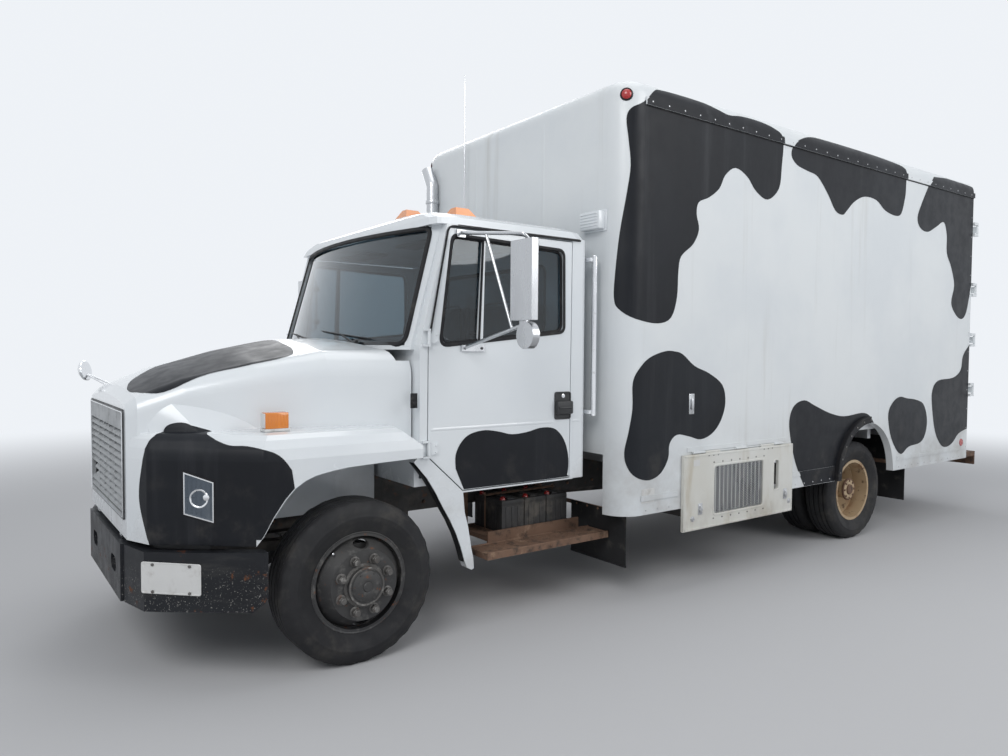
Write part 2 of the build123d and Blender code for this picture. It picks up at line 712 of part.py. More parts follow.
grille_half = 515.0
grille_low = 780.0
grille_high = 1305.0
with BuildPart() as hood:
    add(bonnet(0, 0))
    add(fenders(0, 0))
    add(cheeks(0))
    add(bonnet(hood_wall, 2), mode=Mode.SUBTRACT)
    add(fenders(hood_wall, 2), mode=Mode.SUBTRACT)
    add(cheeks(hood_wall), mode=Mode.SUBTRACT)
    with BuildSketch(Plane.XY.offset(cowl_z - 60)):
        with BuildLine():
            ThreePointArc((-cab_half, cowl_edge), (0, cowl_edge - screen_sag), (cab_half, cowl_edge))
            Polyline((cab_half, cowl_edge), (cab_half, at(500)), (-cab_half, at(500)), (-cab_half, cowl_edge))
        make_face()
    extrude(amount=300, mode=Mode.SUBTRACT)
    for side in (1, -1):
        add(headlamp(side, small_gap, -60, 40), mode=Mode.SUBTRACT)
    add(arch_cutter(900, 1200), mode=Mode.SUBTRACT)
    add(arch_cutter(-1200, -900), mode=Mode.SUBTRACT)
    with BuildSketch(front_plane(at(hood_front + 60))):
        with BuildLine():
            Polyline((-grille_half, grille_high), (grille_half, grille_high), (grille_half, grille_low),
                     (-grille_half, grille_low), (-grille_half, grille_high))
        make_face()
    extrude(amount=100, mode=Mode.SUBTRACT)
    add(liners.part)
    for side in (1, -1):
        lug_x = sorted((side * hood_lug[0], side * hood_lug[1]))
        lug_front = at(hood_pin_y) - hood_lug_radius
        lug_rear = at(hood_pin_y) + hood_lug_radius
        block(lug_x[0], lug_x[1], lug_front, lug_rear, hood_pin_z, hood_low + 10)
        with Locations((side * (hood_lug[0] + hood_lug[1]) / 2, at(hood_pin_y), hood_pin_z)):
            Cylinder(hood_lug_radius, hood_lug[1] - hood_lug[0], rotation=(0, 90, 0))
            Cylinder(hood_pin_radius + running_fit, 60, rotation=(0, 90, 0), mode=Mode.SUBTRACT)
hood.part.label = "hood"
export_step(hood.part, "parts/hood.step")

# Grille: a frame with level slats, seated in the nose opening. Two slats are broken off on the right
slat_count = 11
slat_low = 810.0
slat_pitch = 36.5
slat_half = 494.0
slat_section = [(-7.0, 0.0), (10.0, 16.0), (10.0, 24.0), (-7.0, 10.0)]
header_low = 1212.0
broken_slats = {2: -330.0, 3: -370.0}
divider_places = [-250.0, -85.0, 85.0, 250.0]
frame_half = grille_half - small_gap
with BuildPart() as grille:
    with BuildSketch(front_plane(at(hood_front + 12))):
        with Locations((0, (grille_low + grille_high) / 2)):
            Rectangle(2 * frame_half, grille_high - grille_low - 2 * small_gap)
        with Locations((0, (slat_low - 7 + header_low) / 2)):
            Rectangle(2 * (slat_half - 4), header_low - slat_low + 7, mode=Mode.SUBTRACT)
    extrude(amount=20)
    for index in range(slat_count):
        z = slat_low + index * slat_pitch
        start = broken_slats.get(index, -slat_half)
        points = [(at(hood_front) + depth, z + height) for depth, height in slat_section]
        with BuildSketch(side_plane(start)):
            with BuildLine():
                Polyline(*points, points[0])
            make_face()
        extrude(amount=slat_half - start)
    for x in divider_places:
        block(x - 6, x + 6, at(hood_front) - 2, at(hood_front) + 12, slat_low - 10, header_low + 5)
grille.part.label = "grille"
export_step(grille.part, "parts/grille.step")

# Cab: floor and firewall, back wall, roof, side frames and windscreen frame
def cab_plan(inset, front):
    """Plan outline of the cab's back with round rear corners."""
    half = cab_half - inset
    rear = at(cab_rear) - inset
    corner = cab_corner - inset * 0.5
    cut = corner * 0.293
    with BuildSketch() as plan:
        with BuildLine():
            Polyline((-half, rear - corner), (-half, front), (half, front), (half, rear - corner))
            ThreePointArc((half, rear - corner), (half - cut, rear - cut), (half - corner, rear))
            Line((half - corner, rear), (-half + corner, rear))
            ThreePointArc((-half + corner, rear), (-half + cut, rear - cut), (-half, rear - corner))
        make_face()
    return plan.sketch


back_front = at(1459.0)
with BuildPart() as cab_back:
    with BuildSketch(Plane.XY.offset(cab_low)):
        add(cab_plan(0, back_front))
    extrude(amount=roof_low - cab_low)
    with BuildSketch(Plane.XY.offset(cab_low - 1)):
        add(cab_plan(cab_wall, back_front - cab_wall))
    extrude(amount=roof_low - cab_low + 2, mode=Mode.SUBTRACT)
    with BuildSketch(front_plane(at(cab_rear) + 10)):
        with Locations((0, 1960)):
            RectangleRounded(1300, 460, 60)
    extrude(amount=120, mode=Mode.SUBTRACT)
    block(-500, 500, at(1400), at(1700), cab_low - 5, frame_top + small_gap, mode=Mode.SUBTRACT)
cab_back.part.label = "cab_back"
export_step(cab_back.part, "parts/cab_back.step")

inside_half = cab_half - side_wall - small_gap
firewall_front = 360.0
firewall_rear = firewall_front + 30.0
with BuildPart() as cab_floor:
    block(-inside_half, inside_half, at(firewall_front), at(cab_rear) - cab_wall - small_gap,
          frame_top + small_gap, cab_floor_top)
    rear_corners = cab_floor.edges().filter_by(Axis.Z).group_by(Axis.Y)[-1]
    chamfer(rear_corners, 60)
    block(-inside_half, inside_half, at(firewall_front), at(firewall_rear), cab_floor_top - 1, cowl_z)
cab_floor.part.label = "cab_floor"
export_step(cab_floor.part, "parts/cab_floor.step")


def door_outline(grow):
    """Door outline on a side sketch, grown or shrunk all round."""
    points = [(at(y), z) for y, z in door_places]
    with BuildSketch() as outline:
        with BuildLine():
            Polyline(*points, points[0])
        make_face()
        if grow != 0:
            offset(amount=grow, kind=Kind.INTERSECTION)
    return outline.sketch


# Lower edge of a cab side from the front, with the curved guard behind the front wheel
side_low_places = [
    (360.0, 1040.0), (325.0, 1006.0), (406.0, 915.0), (460.0, 832.0), (509.0, 742.0), (556.0, 664.0),
    (598.0, 580.0), (628.0, 502.0), (653.0, 419.0), (671.0, 378.0), (700.0, 362.0), (717.0, 368.0),
    (712.0, 430.0), (698.0, 489.0), (676.0, 612.0), (652.0, 700.0), (642.0, 811.0),
]
with BuildPart() as cab_sides:
    for side in (1, -1):
        x_low = cab_half - side_wall if side > 0 else -cab_half
        points = [(at(y), z) for y, z in side_low_places]
        with BuildSketch(side_plane(x_low)):
            with BuildLine():
                side_rear = back_front - small_gap
                side_top = roof_low - small_gap
                Polyline(*points, (side_rear, 811), (side_rear, side_top), (at(530), side_top),
                         (at(cab_front), 1640), points[0])
            make_face()
            add(door_outline(door_gap), mode=Mode.SUBTRACT)
        extrude(amount=side_wall)
        for z in door_hinge_heights:
            with Locations((side * door_hinge_x, door_hinge_y, z)):
                Cylinder(door_pin_radius, door_barrel + 2 * door_knuckle + 2)
            for end in (1, -1):
                knuckle_z = z + end * (door_barrel / 2 + 1 + door_knuckle / 2)
                with Locations((side * door_hinge_x, door_hinge_y, knuckle_z)):
                    Cylinder(door_knuckle_radius, door_knuckle)
                leaf_x = sorted((side * (cab_half - 1), side * (door_hinge_x + 6)))
                block(leaf_x[0], leaf_x[1], door_hinge_y - 38, door_hinge_y - 6,
                      knuckle_z - door_knuckle / 2, knuckle_z + door_knuckle / 2)
cab_sides.part.label = "cab_sides"
export_step(cab_sides.part, "parts/cab_sides.step")


def screen_band(wall, outside):
    """A curved band that leans like the windscreen: an arc in plan, pushed up along the rake."""
    half = screen_half
    lean = Vector(0, screen_high[0] - screen_low[0], screen_high[1] - screen_low[1])
    base_y = at(screen_low[0]) + outside
    with BuildPart() as band:
        with BuildSketch(Plane.XY.offset(cowl_z + small_gap)):
            with BuildLine():
                ThreePointArc((-half, base_y), (0, base_y - screen_sag), (half, base_y))
                Line((half, base_y), (half, base_y + wall))
                ThreePointArc((half, base_y + wall), (0, base_y - screen_sag + wall), (-half, base_y + wall))
                Line((-half, base_y + wall), (-half, base_y))
            make_face()
        extrude(amount=lean.length + 30, dir=lean)
    return band.part


def screen_cutter(grow):
    """Prism through the windscreen opening as seen from the front."""
    with BuildPart() as prism:
        with BuildSketch(front_plane(at(700.0))):
            with BuildLine():
                low_half = screen_half - 45 + grow
                high_half = screen_half - 68 + grow
                Polyline((-low_half, screen_open_low - grow), (low_half, screen_open_low - grow),
                         (high_half, screen_open_high + grow), (-high_half, screen_open_high + grow),
                         (-low_half, screen_open_low - grow))
            make_face()
        extrude(amount=700)
    return prism.part


with BuildPart() as windscreen_frame:
    add(screen_band(screen_wall, 0))
    add(screen_cutter(0), mode=Mode.SUBTRACT)
    block(-cab_half, cab_half, at(0), at(800), roof_low - small_gap, 2600, mode=Mode.SUBTRACT)
    with BuildSketch(Plane.XY.offset(cowl_z + small_gap)):
        with BuildLine():
            screen_y = at(screen_low[0]) + 4
            ThreePointArc((-screen_half, screen_y), (0, screen_y - screen_sag), (screen_half, screen_y))
            behind = at(firewall_rear + 40)
            Polyline((screen_half, screen_y), (screen_half, behind), (-screen_half, behind),
                     (-screen_half, screen_y))
        make_face()
    extrude(amount=20)
windscreen_frame.part.label = "windscreen_frame"
export_step(windscreen_frame.part, "parts/windscreen_frame.step")

with BuildPart() as cab_glass:
    add(screen_band(glass_wall, 12))
    add(screen_cutter(-small_gap), mode=Mode.INTERSECT)
    with BuildSketch(front_plane(at(cab_rear) - 20)):
        with Locations((0, 1960)):
            RectangleRounded(1300 - 2 * small_gap, 460 - 2 * small_gap, 60 - small_gap)
    extrude(amount=glass_wall)
cab_glass.part.label = "cab_glass"
export_step(cab_glass.part, "parts/cab_glass.step")


# Roof cap sections: height, half width, front place, rear place, corner cut
roof_sections = [
    (roof_low, cab_half, 470.0, 1569.0, 90.0),
    (2350.0, cab_half - 30, 486.0, 1556.0, 100.0),
    (2385.0, cab_half - 130, 505.0, 1525.0, 110.0),
    (2430.0, cab_half - 370, 615.0, 1440.0, 120.0),
    (2475.0, cab_half - 670, 730.0, 1340.0, 100.0),
    (roof_top, 150.0, 850.0, 1230.0, 60.0),
]


def roof_outline(half, front, rear, cut):
    """Plan outline of the roof at one height, each corner cut off in three straight steps."""
    side = cut * 0.35
    quarter = [(half, cut), (half - side * 0.45, side), (half - side, side * 0.45), (half - cut, 0)]
    ahead = [(x, at(front) + y) for x, y in quarter]
    behind = [(x, at(rear) - y) for x, y in reversed(quarter)]
    right = ahead[::-1] + behind[::-1]
    left = [(-x, y) for x, y in reversed(right)]
    with BuildSketch() as outline:
        with BuildLine():
            Polyline(*right, *left, right[0])
        make_face()
    return outline.sketch


def roof_loft(inset):
    """Roof cap: a wide lower outline drawn in by steps to a small top."""
    with BuildPart() as cap:
        for z, half, front, rear, cut in roof_sections:
            down = 2 if inset and z == roof_low else (inset if z > roof_low else 0)
            with BuildSketch(Plane.XY.offset(z - down)):
                add(roof_outline(half - inset, front + inset, rear - inset, max(cut - inset * 0.6, 20)))
        loft(ruled=True)
    return cap.part


with BuildPart() as cab_roof:
    add(roof_loft(0))
    add(roof_loft(40), mode=Mode.SUBTRACT)
cab_roof.part.label = "cab_roof"
export_step(cab_roof.part, "parts/cab_roof.step")

# Roof lamps: X of the middle, height of the roof there
lamp_rows = [(-620.0, 2434.0), (0.0, 2510.0), (620.0, 2434.0)]
lamp_place = 860.0
with BuildPart() as roof_lamps:
    for x, z in lamp_rows:
        for height, width, depth in ((z - 30, 190, 170), (z + 46, 60, 90)):
            with BuildSketch(Plane.XY.offset(height)):
                with Locations((x, at(lamp_place))):
                    Rectangle(width, depth)
        loft(ruled=True)
    add(roof_loft(0), mode=Mode.SUBTRACT)
roof_lamps.part.label = "roof_lamps"
export_step(roof_lamps.part, "parts/roof_lamps.step")

# Cab doors, their glass and the mirrors they carry
window_places = [(489.0, 1636.0), (1376.0, 1729.0), (1369.0, 2224.0), (566.0, 2246.0)]
window_corner = 48.0
vent_bar_places = [(738.0, 1650.0), (774.0, 1654.0), (789.0, 2249.0), (773.0, 2249.0)]


def window_outline(grow):
    """Door window with round corners, grown or shrunk all round."""
    points = [(at(y), z) for y, z in window_places]
    with BuildSketch() as outline:
        with BuildLine():
            Polyline(*points, points[0])
        make_face()
        fillet(outline.vertices(), window_corner)
        if grow != 0:
            offset(amount=grow)
    return outline.sketch


with BuildPart() as door_left:
    with BuildSketch(side_plane(cab_half - door_wall)):
        add(door_outline(0))
    extrude(amount=door_wall)
    with BuildSketch(side_plane(cab_half - door_wall - 1)):
        add(window_outline(0))
    extrude(amount=door_wall + 2, mode=Mode.SUBTRACT)
    bar_points = [(at(y), z) for y, z in vent_bar_places]
    with BuildSketch(side_plane(cab_half - 30 + glass_wall + small_gap)):
        with BuildLine():
            Polyline(*bar_points, bar_points[0])
        make_face()
    extrude(amount=16)
    for z in door_hinge_heights:
        with Locations((door_hinge_x, door_hinge_y, z)):
            Cylinder(door_knuckle_radius, door_barrel)
        block(door_hinge_x - door_knuckle_radius, door_hinge_x - 4, door_hinge_y, door_hinge_y + 62, z - 30, z + 30)
        block(cab_half - 1, door_hinge_x - 4, door_hinge_y + 28, door_hinge_y + 62, z - 30, z + 30)
        with Locations((door_hinge_x, door_hinge_y, z)):
            Cylinder(door_pin_radius + running_fit, 2 * door_barrel, mode=Mode.SUBTRACT)
    block(cab_half - 1, cab_half + 28, at(1310), at(1430), 1225, 1300)
door_left.part.label = "door_left"
export_step(door_left.part, "parts/door_left.step")
with BuildPart() as door_right:
    add(door_left.part)
    mirror(about=Plane.YZ, mode=Mode.REPLACE)
door_right.part.label = "door_right"
export_step(door_right.part, "parts/door_right.step")

with BuildPart() as door_glass_left:
    with BuildSketch(side_plane(cab_half - 30)):
        add(window_outline(-small_gap))
    extrude(amount=glass_wall)
door_glass_left.part.label = "door_glass_left"
export_step(door_glass_left.part, "parts/door_glass_left.step")
with BuildPart() as door_glass_right:
    add(door_glass_left.part)
    mirror(about=Plane.YZ, mode=Mode.REPLACE)
door_glass_right.part.label = "door_glass_right"
export_step(door_glass_right.part, "parts/door_glass_right.step")

mirror_x = cab_half + 480.0
mirror_tube_x = mirror_x - 40.0
mirror_y = 700.0
mirror_half = 89.0
arm_root_x = cab_half + 12.0
with BuildPart() as mirror_left:
    block(mirror_x - mirror_half, mirror_x + mirror_half, at(mirror_y) - 28, at(mirror_y) + 12, 1767, 2177)
    with Locations((mirror_x + 20, at(mirror_y) + 4, 1690)):
        Cylinder(70, 44, rotation=(90, 0, 0))
    loop = [
        (arm_root_x, at(604), 2258), (mirror_tube_x, at(720), 2216), (mirror_tube_x, at(776), 2170),
        (mirror_tube_x, at(776), 1790), (mirror_tube_x, at(700), 1738), (arm_root_x, at(640), 1626),
    ]
    add(tube_run(loop, 18, 10))
    for z in (2110, 1840):
        block(mirror_tube_x - 12, mirror_tube_x + 12, at(mirror_y) + 11, at(776), z - 12, z + 12)
    block(mirror_tube_x, mirror_x, at(mirror_y) - 6, at(mirror_y) + 10, 1700, 1772)
    add(straight_bar((cab_half + 190, at(654), 2240), (mirror_tube_x - 60, at(693), 1722), 8))
    block(cab_half + small_gap, cab_half + 16, at(585), at(640), 2236, 2276)
    block(cab_half + small_gap, cab_half + 16, at(618), at(775), 1606, 1640)
mirror_left.part.label = "mirror_left"
export_step(mirror_left.part, "parts/mirror_left.step")
with BuildPart() as mirror_right:
    add(mirror_left.part)
    mirror(about=Plane.YZ, mode=Mode.REPLACE)
mirror_right.part.label = "mirror_right"
export_step(mirror_right.part, "parts/mirror_right.step")

# Inside the cab
with BuildPart() as dashboard:
    block(-inside_half, inside_half, at(firewall_rear) + small_gap, at(620), 1330, 1560)
    add(straight_bar((420, at(560), 1420), (420, at(770), 1600), 28))
    with BuildSketch(Plane(origin=(420, at(770), 1600), z_dir=(0, 0.76, 0.65))):
        Circle(225)
        Circle(197, mode=Mode.SUBTRACT)
        Rectangle(400, 34)
        Rectangle(34, 400)
    extrude(amount=24)
dashboard.part.label = "dashboard"
export_step(dashboard.part, "parts/dashboard.step")

seat_places = [(420.0, 240.0), (-370.0, 290.0)]
with BuildPart() as seats:
    for x, half in seat_places:
        block(x - half, x + half, at(900), at(1420), cab_floor_top + small_gap, 1330)
        block(x - half, x + half, at(1290), at(1420), 1330, 1950)
seats.part.label = "seats"
export_step(seats.part, "parts/seats.step")

# Cargo box
box_front = 1681.0
box_corner = 170.0
box_wall = 60.0
skirt_low = 565.0
rail_z = 3154.0
box_top = 3317.0
roof_round = 105.0
roof_split = rail_z
floor_low = 950.0
floor_top = 1040.0
frame_post = 70.0
arch_y = wheelbase - 10.0
arch_z = 567.0
arch_radius = 450.0


def box_outer(inset):
    """The box body as one block with round front corners and a round roof edge, or its hollow when inset."""
    half = box_half - inset
    front = at(box_front) + inset
    corner = box_corner - inset
    low = skirt_low - (1 if inset else 0)
    rear = at(box_rear) + (1 if inset else 0)
    with BuildPart() as body:
        with BuildSketch(Plane.XY.offset(low)):
            with BuildLine():
                Line((-half, rear), (-half, front + corner))
                ThreePointArc((-half, front + corner), (-half + corner * 0.2929, front + corner * 0.2929),
                              (-half + corner, front))
                Line((-half + corner, front), (half - corner, front))
                ThreePointArc((half - corner, front), (half - corner * 0.2929, front + corner * 0.2929),
                              (half, front + corner))
                Line((half, front + corner), (half, rear))
                Line((half, rear), (-half, rear))
            make_face()
        extrude(amount=box_top - inset - low)
        edges = body.edges().group_by(Axis.Z)[-1].filter_by(lambda e: e.center().Y < rear - 5)
        fillet(edges, roof_round - inset)
    return body.part


with BuildPart() as box_shell:
    add(box_outer(0))
    add(box_outer(box_wall), mode=Mode.SUBTRACT)
shell = box_shell.part
post_y = at(box_rear) - frame_post
corner_y = at(box_front) + box_corner

with BuildPart() as box_front_wall:
    add(shell)
    block(-2000, 2000, at(box_front) - 50, corner_y, 0, roof_split, mode=Mode.INTERSECT)
    flat_half = box_half - box_corner
    block(-flat_half, flat_half, at(box_front) - 50, corner_y, 0, floor_low, mode=Mode.SUBTRACT)
box_front_wall.part.label = "box_front_wall"
export_step(box_front_wall.part, "parts/box_front_wall.step")

gutter_reach = 14.0
gutter_height = 46.0
with BuildPart() as box_roof:
    add(shell)
    block(-2000, 2000, at(box_front) - 50, at(box_rear) + 1, roof_split, 4000, mode=Mode.INTERSECT)
    for side in (1, -1):
        gutter = sorted((side * (box_half - 1), side * (box_half + gutter_reach)))
        block(gutter[0], gutter[1], corner_y, at(box_rear), roof_split, roof_split + gutter_height)
box_roof.part.label = "box_roof"
export_step(box_roof.part, "parts/box_roof.step")

compartment_front = 2290.0
compartment_rear = 3420.0
compartment_high = 915.0
access_hinge_x = box_half + 14.0
access_hinge_z = 930.0
access_knuckle_radius = 7.0
access_pin_radius = 3.0
fixed_knuckles = [(2340.0, 2460.0), (2800.0, 2920.0), (3250.0, 3370.0)]
moving_knuckles = [(2465.0, 2620.0), (3090.0, 3245.0)]


def hinge_bar(radius, y_low, y_high):
    """A round bar along the access door's hinge line."""
    low_end = (access_hinge_x, at(y_low), access_hinge_z)
    high_end = (access_hinge_x, at(y_high), access_hinge_z)
    return straight_bar(low_end, high_end, radius)


with BuildPart() as box_side_left:
    add(shell)
    block(0, 2000, corner_y, post_y, 0, roof_split, mode=Mode.INTERSECT)
    with BuildSketch(side_plane(1100)):
        with Locations((at(arch_y), arch_z)):
            Circle(arch_radius)
    extrude(amount=200, mode=Mode.SUBTRACT)
    block(1100, 1300, at(compartment_front), at(compartment_rear), 500, compartment_high, mode=Mode.SUBTRACT)
    block(box_half - 1, box_half + 8, corner_y, at(2200), 655, 690)
    block(box_half - 1, box_half + 8, at(3500), at(4100), 655, 690)
    block(box_half - 1, box_half + 8, at(5130), post_y, 655, 690)
    strip_front = at(fixed_knuckles[0][0]) - 50
    strip_rear = at(fixed_knuckles[-1][1]) + 50
    block(box_half - 1, box_half + 6, strip_front, strip_rear, 938, 968)
    add(hinge_bar(access_pin_radius, fixed_knuckles[0][0], fixed_knuckles[-1][1]))
    for y_low, y_high in fixed_knuckles:
        add(hinge_bar(access_knuckle_radius, y_low, y_high))
        block(box_half - 1, access_hinge_x, at(y_low), at(y_high), access_hinge_z, access_hinge_z + 10)
box_side_left.part.label = "box_side_left"
export_step(box_side_left.part, "parts/box_side_left.step")

with BuildPart() as box_side_right:
    add(shell)
    block(-2000, 0, corner_y, post_y, 0, roof_split, mode=Mode.INTERSECT)
    with BuildSketch(side_plane(-1300)):
        with Locations((at(arch_y), arch_z)):
            Circle(arch_radius)
    extrude(amount=200, mode=Mode.SUBTRACT)
    block(-box_half - 8, -box_half + 1, corner_y, at(4100), 655, 690)
    block(-box_half - 8, -box_half + 1, at(5130), post_y, 655, 690)
box_side_right.part.label = "box_side_right"
export_step(box_side_right.part, "parts/box_side_right.step")

inner_half = box_half - box_wall
sill_count = 13
with BuildPart() as box_floor:
    block(-inner_half + small_gap, inner_half - small_gap, corner_y, post_y - small_gap, floor_low, floor_top)
    floor_front = at(box_front) + box_wall + small_gap
    block(-inner_half + box_corner, inner_half - box_corner, floor_front, corner_y + 1, floor_low, floor_top)
    sill_pitch = (post_y - corner_y - 240.0) / (sill_count - 1)
    for index in range(sill_count):
        sill_y = corner_y + 60 + index * sill_pitch
        block(-inner_half + 40, inner_half - 40, sill_y - 25, sill_y + 25, frame_top + small_gap, floor_low + 1)
box_floor.part.label = "box_floor"
export_step(box_floor.part, "parts/box_floor.step")

# Rear frame and doors
rear_door_wall = 60.0
rear_door_gap = small_gap + 2.0
rear_hinge_x = box_half + 10.0
rear_hinge_y = at(box_rear) + rear_door_wall + 22.0
rear_hinge_heights = [1250.0, 1750.0, 2250.0, 2850.0]
rear_barrel = 80.0
rear_knuckle = 25.0
rear_knuckle_radius = 10.0
rear_pin_radius = 6.0
door_post = 90.0
header_low = 3040.0
with BuildPart() as rear_frame:
    block(-box_half, box_half, post_y + small_gap, at(box_rear), skirt_low, roof_split - small_gap)
    doorway_half = box_half - door_post
    block(-doorway_half, doorway_half, post_y - 1, at(box_rear) + 1, floor_top, header_low, mode=Mode.SUBTRACT)
    for side in (1, -1):
        for z in rear_hinge_heights:
            with Locations((side * rear_hinge_x, rear_hinge_y, z)):
                Cylinder(rear_pin_radius, rear_barrel + 2 * rear_knuckle + 2)
            for end in (1, -1):
                knuckle_z = z + end * (rear_barrel / 2 + 1 + rear_knuckle / 2)
                leaf_x = sorted((side * (box_half - 18), side * (rear_hinge_x + rear_knuckle_radius)))
                block(leaf_x[0], leaf_x[1], at(box_rear) - 1, rear_hinge_y,
                      knuckle_z - rear_knuckle / 2, knuckle_z + rear_knuckle / 2)
                with Locations((side * rear_hinge_x, rear_hinge_y, knuckle_z)):
                    Cylinder(rear_knuckle_radius, rear_knuckle)
rear_frame.part.label = "rear_frame"
export_step(rear_frame.part, "parts/rear_frame.step")

door_outer_x = box_half - 24.0
with BuildPart() as rear_door_left:
    door_y = at(box_rear) + rear_door_gap
    block(4, door_outer_x, door_y, door_y + rear_door_wall, floor_top + 10, header_low + 50)
    for z in rear_hinge_heights:
        block(door_outer_x - 160, rear_hinge_x, door_y + rear_door_wall - 1, rear_hinge_y - 6, z - 30, z + 30)
        with Locations((rear_hinge_x, rear_hinge_y, z)):
            Cylinder(rear_knuckle_radius, rear_barrel)
            Cylinder(rear_pin_radius + running_fit, 2 * rear_barrel, mode=Mode.SUBTRACT)
rear_door_left.part.label = "rear_door_left"
export_step(rear_door_left.part, "parts/rear_door_left.step")
with BuildPart() as rear_door_right:
    add(rear_door_left.part)
    mirror(about=Plane.YZ, mode=Mode.REPLACE)
rear_door_right.part.label = "rear_door_right"
export_step(rear_door_right.part, "parts/rear_door_right.step")

# Access door of the cooling compartment, with the unit behind its mesh
access_front = 2235.0
access_rear = 3480.0
access_low = 407.0
access_high = 920.0
access_wall = 22.0
access_x = box_half + 3.0
with BuildPart() as access_door:
    block(access_x, access_x + access_wall, at(access_front), at(access_rear), access_low, access_high)
    with BuildSketch(side_plane(access_x - 1)):
        with Locations((at(2830), 660)):
            RectangleRounded(560, 330, 30)
        with Locations((at(3270), 700)):
            RectangleRounded(60, 220, 25)
    extrude(amount=access_wall + 2, mode=Mode.SUBTRACT)
    for index in range(12):
        mesh_y = at(2830) - 250 + index * 45.0
        block(access_x + 8, access_x + 11, mesh_y - 4, mesh_y + 4, 490, 830)
    for y_low, y_high in moving_knuckles:
        add(hinge_bar(access_knuckle_radius, y_low, y_high))
        block(access_hinge_x - 4, access_hinge_x + 4, at(y_low), at(y_high), access_high - 2, access_hinge_z - 4)
        add(hinge_bar(access_pin_radius + running_fit, y_low - 1, y_high + 1), mode=Mode.SUBTRACT)
access_door.part.label = "access_door"
export_step(access_door.part, "parts/access_door.step")

with BuildPart() as cooling_unit:
    block(rail_outer + 188, box_half - 99, at(2380), at(3340), 470, frame_top)
    block(rail_outer, rail_outer + 189, at(2500), at(3200), 640, frame_top)
cooling_unit.part.label = "cooling_unit"
export_step(cooling_unit.part, "parts/cooling_unit.step")

# Arch flares, mud flaps and the rear step
with BuildPart() as flares:
    for side in (1, -1):
        x_low = box_half if side > 0 else -box_half - 32
        with BuildSketch(side_plane(x_low)):
            with Locations((at(arch_y), arch_z)):
                Circle(arch_radius + 55)
                Circle(arch_radius, mode=Mode.SUBTRACT)
            with Locations((at(arch_y), arch_z - 400)):
                Rectangle(1400, 800, mode=Mode.SUBTRACT)
            if side > 0:
                with Locations((at(arch_y) + 400, arch_z + 300)):
                    Rectangle(800, 800, mode=Mode.SUBTRACT)
        extrude(amount=32)
flares.part.label = "flares"
export_step(flares.part, "parts/flares.step")

with BuildPart() as mud_flaps:
    for side in (1, -1):
        flap = sorted((side * (box_half - 579), side * (box_half - 69)))
        block(flap[0], flap[1], at(wheelbase + 790), at(wheelbase + 800), 250, floor_low - small_gap)
mud_flaps.part.label = "mud_flaps"
export_step(mud_flaps.part, "parts/mud_flaps.step")

step_low = 470.0
step_high = 606.0
with BuildPart() as rear_step:
    step_half = box_half - 39
    step_front = at(box_rear) + 19
    block(-step_half, step_half, step_front, at(rear_reach), step_high - 46, step_high)
    block(-step_half, step_half, at(rear_reach) - 20, at(rear_reach), step_low, step_high)
    for side in (1, -1):
        x = side * spring_x
        block(x - 38, x + 38, at(rail_rear) - 180, at(rail_rear) - 10, step_low, frame_bottom - small_gap)
        block(x - 38, x + 38, at(rail_rear) - 180, step_front + 160, step_low, skirt_low - small_gap)
rear_step.part.label = "rear_step"
export_step(rear_step.part, "parts/rear_step.step")

# Tank, battery step, batteries and exhaust under and behind the cab
tread_low = 392.0
tread_high = 428.0
tread_in = 800.0
tread_out = 1000.0
tray_low = 440.0
tray_high = 470.0
tray_front = 960.0
tray_rear = 1700.0
battery_front = 1080.0
battery_pitch = 180.0
battery_length = 172.0
battery_high = 667.0
with BuildPart() as fuel_tank:
    with BuildSketch(side_plane(-rail_outer - 513)):
        with Locations((at(1130), 600)):
            RectangleRounded(820, 380, 90)
    extrude(amount=425)
    for y in (880.0, 1380.0):
        block(-rail_outer - 89, -rail_outer, at(y) - 40, at(y) + 40, 640, 780)
fuel_tank.part.label = "fuel_tank"
export_step(fuel_tank.part, "parts/fuel_tank.step")

with BuildPart() as battery_step:
    block(tread_in, tread_out, at(820), at(1785), tread_low, tread_high)
    block(rail_outer + 8, tread_in + 1, at(tray_front), at(tray_rear), tray_low, tray_high)
    block(tread_in - 10, tread_in + 1, at(tray_front), at(tray_rear), tray_low - 40, tray_high + 30)
    for y in (tray_front + 40, tray_rear - 80):
        block(rail_outer, rail_outer + 38, at(y) - 30, at(y) + 30, tray_low, 780)
battery_step.part.label = "battery_step"
export_step(battery_step.part, "parts/battery_step.step")

with BuildPart() as batteries:
    for index in range(3):
        front = at(battery_front + index * battery_pitch)
        block(rail_outer + 48, tread_in - 20, front, front + battery_length, tray_high + small_gap, battery_high)
batteries.part.label = "batteries"
export_step(batteries.part, "parts/batteries.step")

stack_place = cab_rear + 56.0
stack_x = -1000.0
silencer_x = -700.0
pipe_z = 640.0
pipe_radius = 60.0
pipe_bore = 50.0
with BuildPart() as exhaust_stack:
    stack_y = at(stack_place)
    run = [
        (silencer_x, at(1900), pipe_z), (silencer_x, stack_y, pipe_z), (stack_x, stack_y, pipe_z),
        (stack_x, stack_y, 3000), (stack_x - 80, stack_y, 3140),
    ]
    add(tube_run(run, pipe_radius, pipe_bore))
    with Locations((silencer_x, at(2250), pipe_z)):
        Cylinder(2 * pipe_radius, 720, rotation=(90, 0, 0))
    block(silencer_x - 20, -rail_outer, at(2200), at(2260), 700, 780)
exhaust_stack.part.label = "exhaust_stack"
export_step(exhaust_stack.part, "parts/exhaust_stack.step")

with BuildPart() as antenna:
    add(straight_bar((-480, at(1610), 2200), (-480, at(1610), 3770), 5))
    block(-500, -460, at(cab_rear) + small_gap, at(1625), 2200, 2240)
antenna.part.label = "antenna"
export_step(antenna.part, "parts/antenna.step")

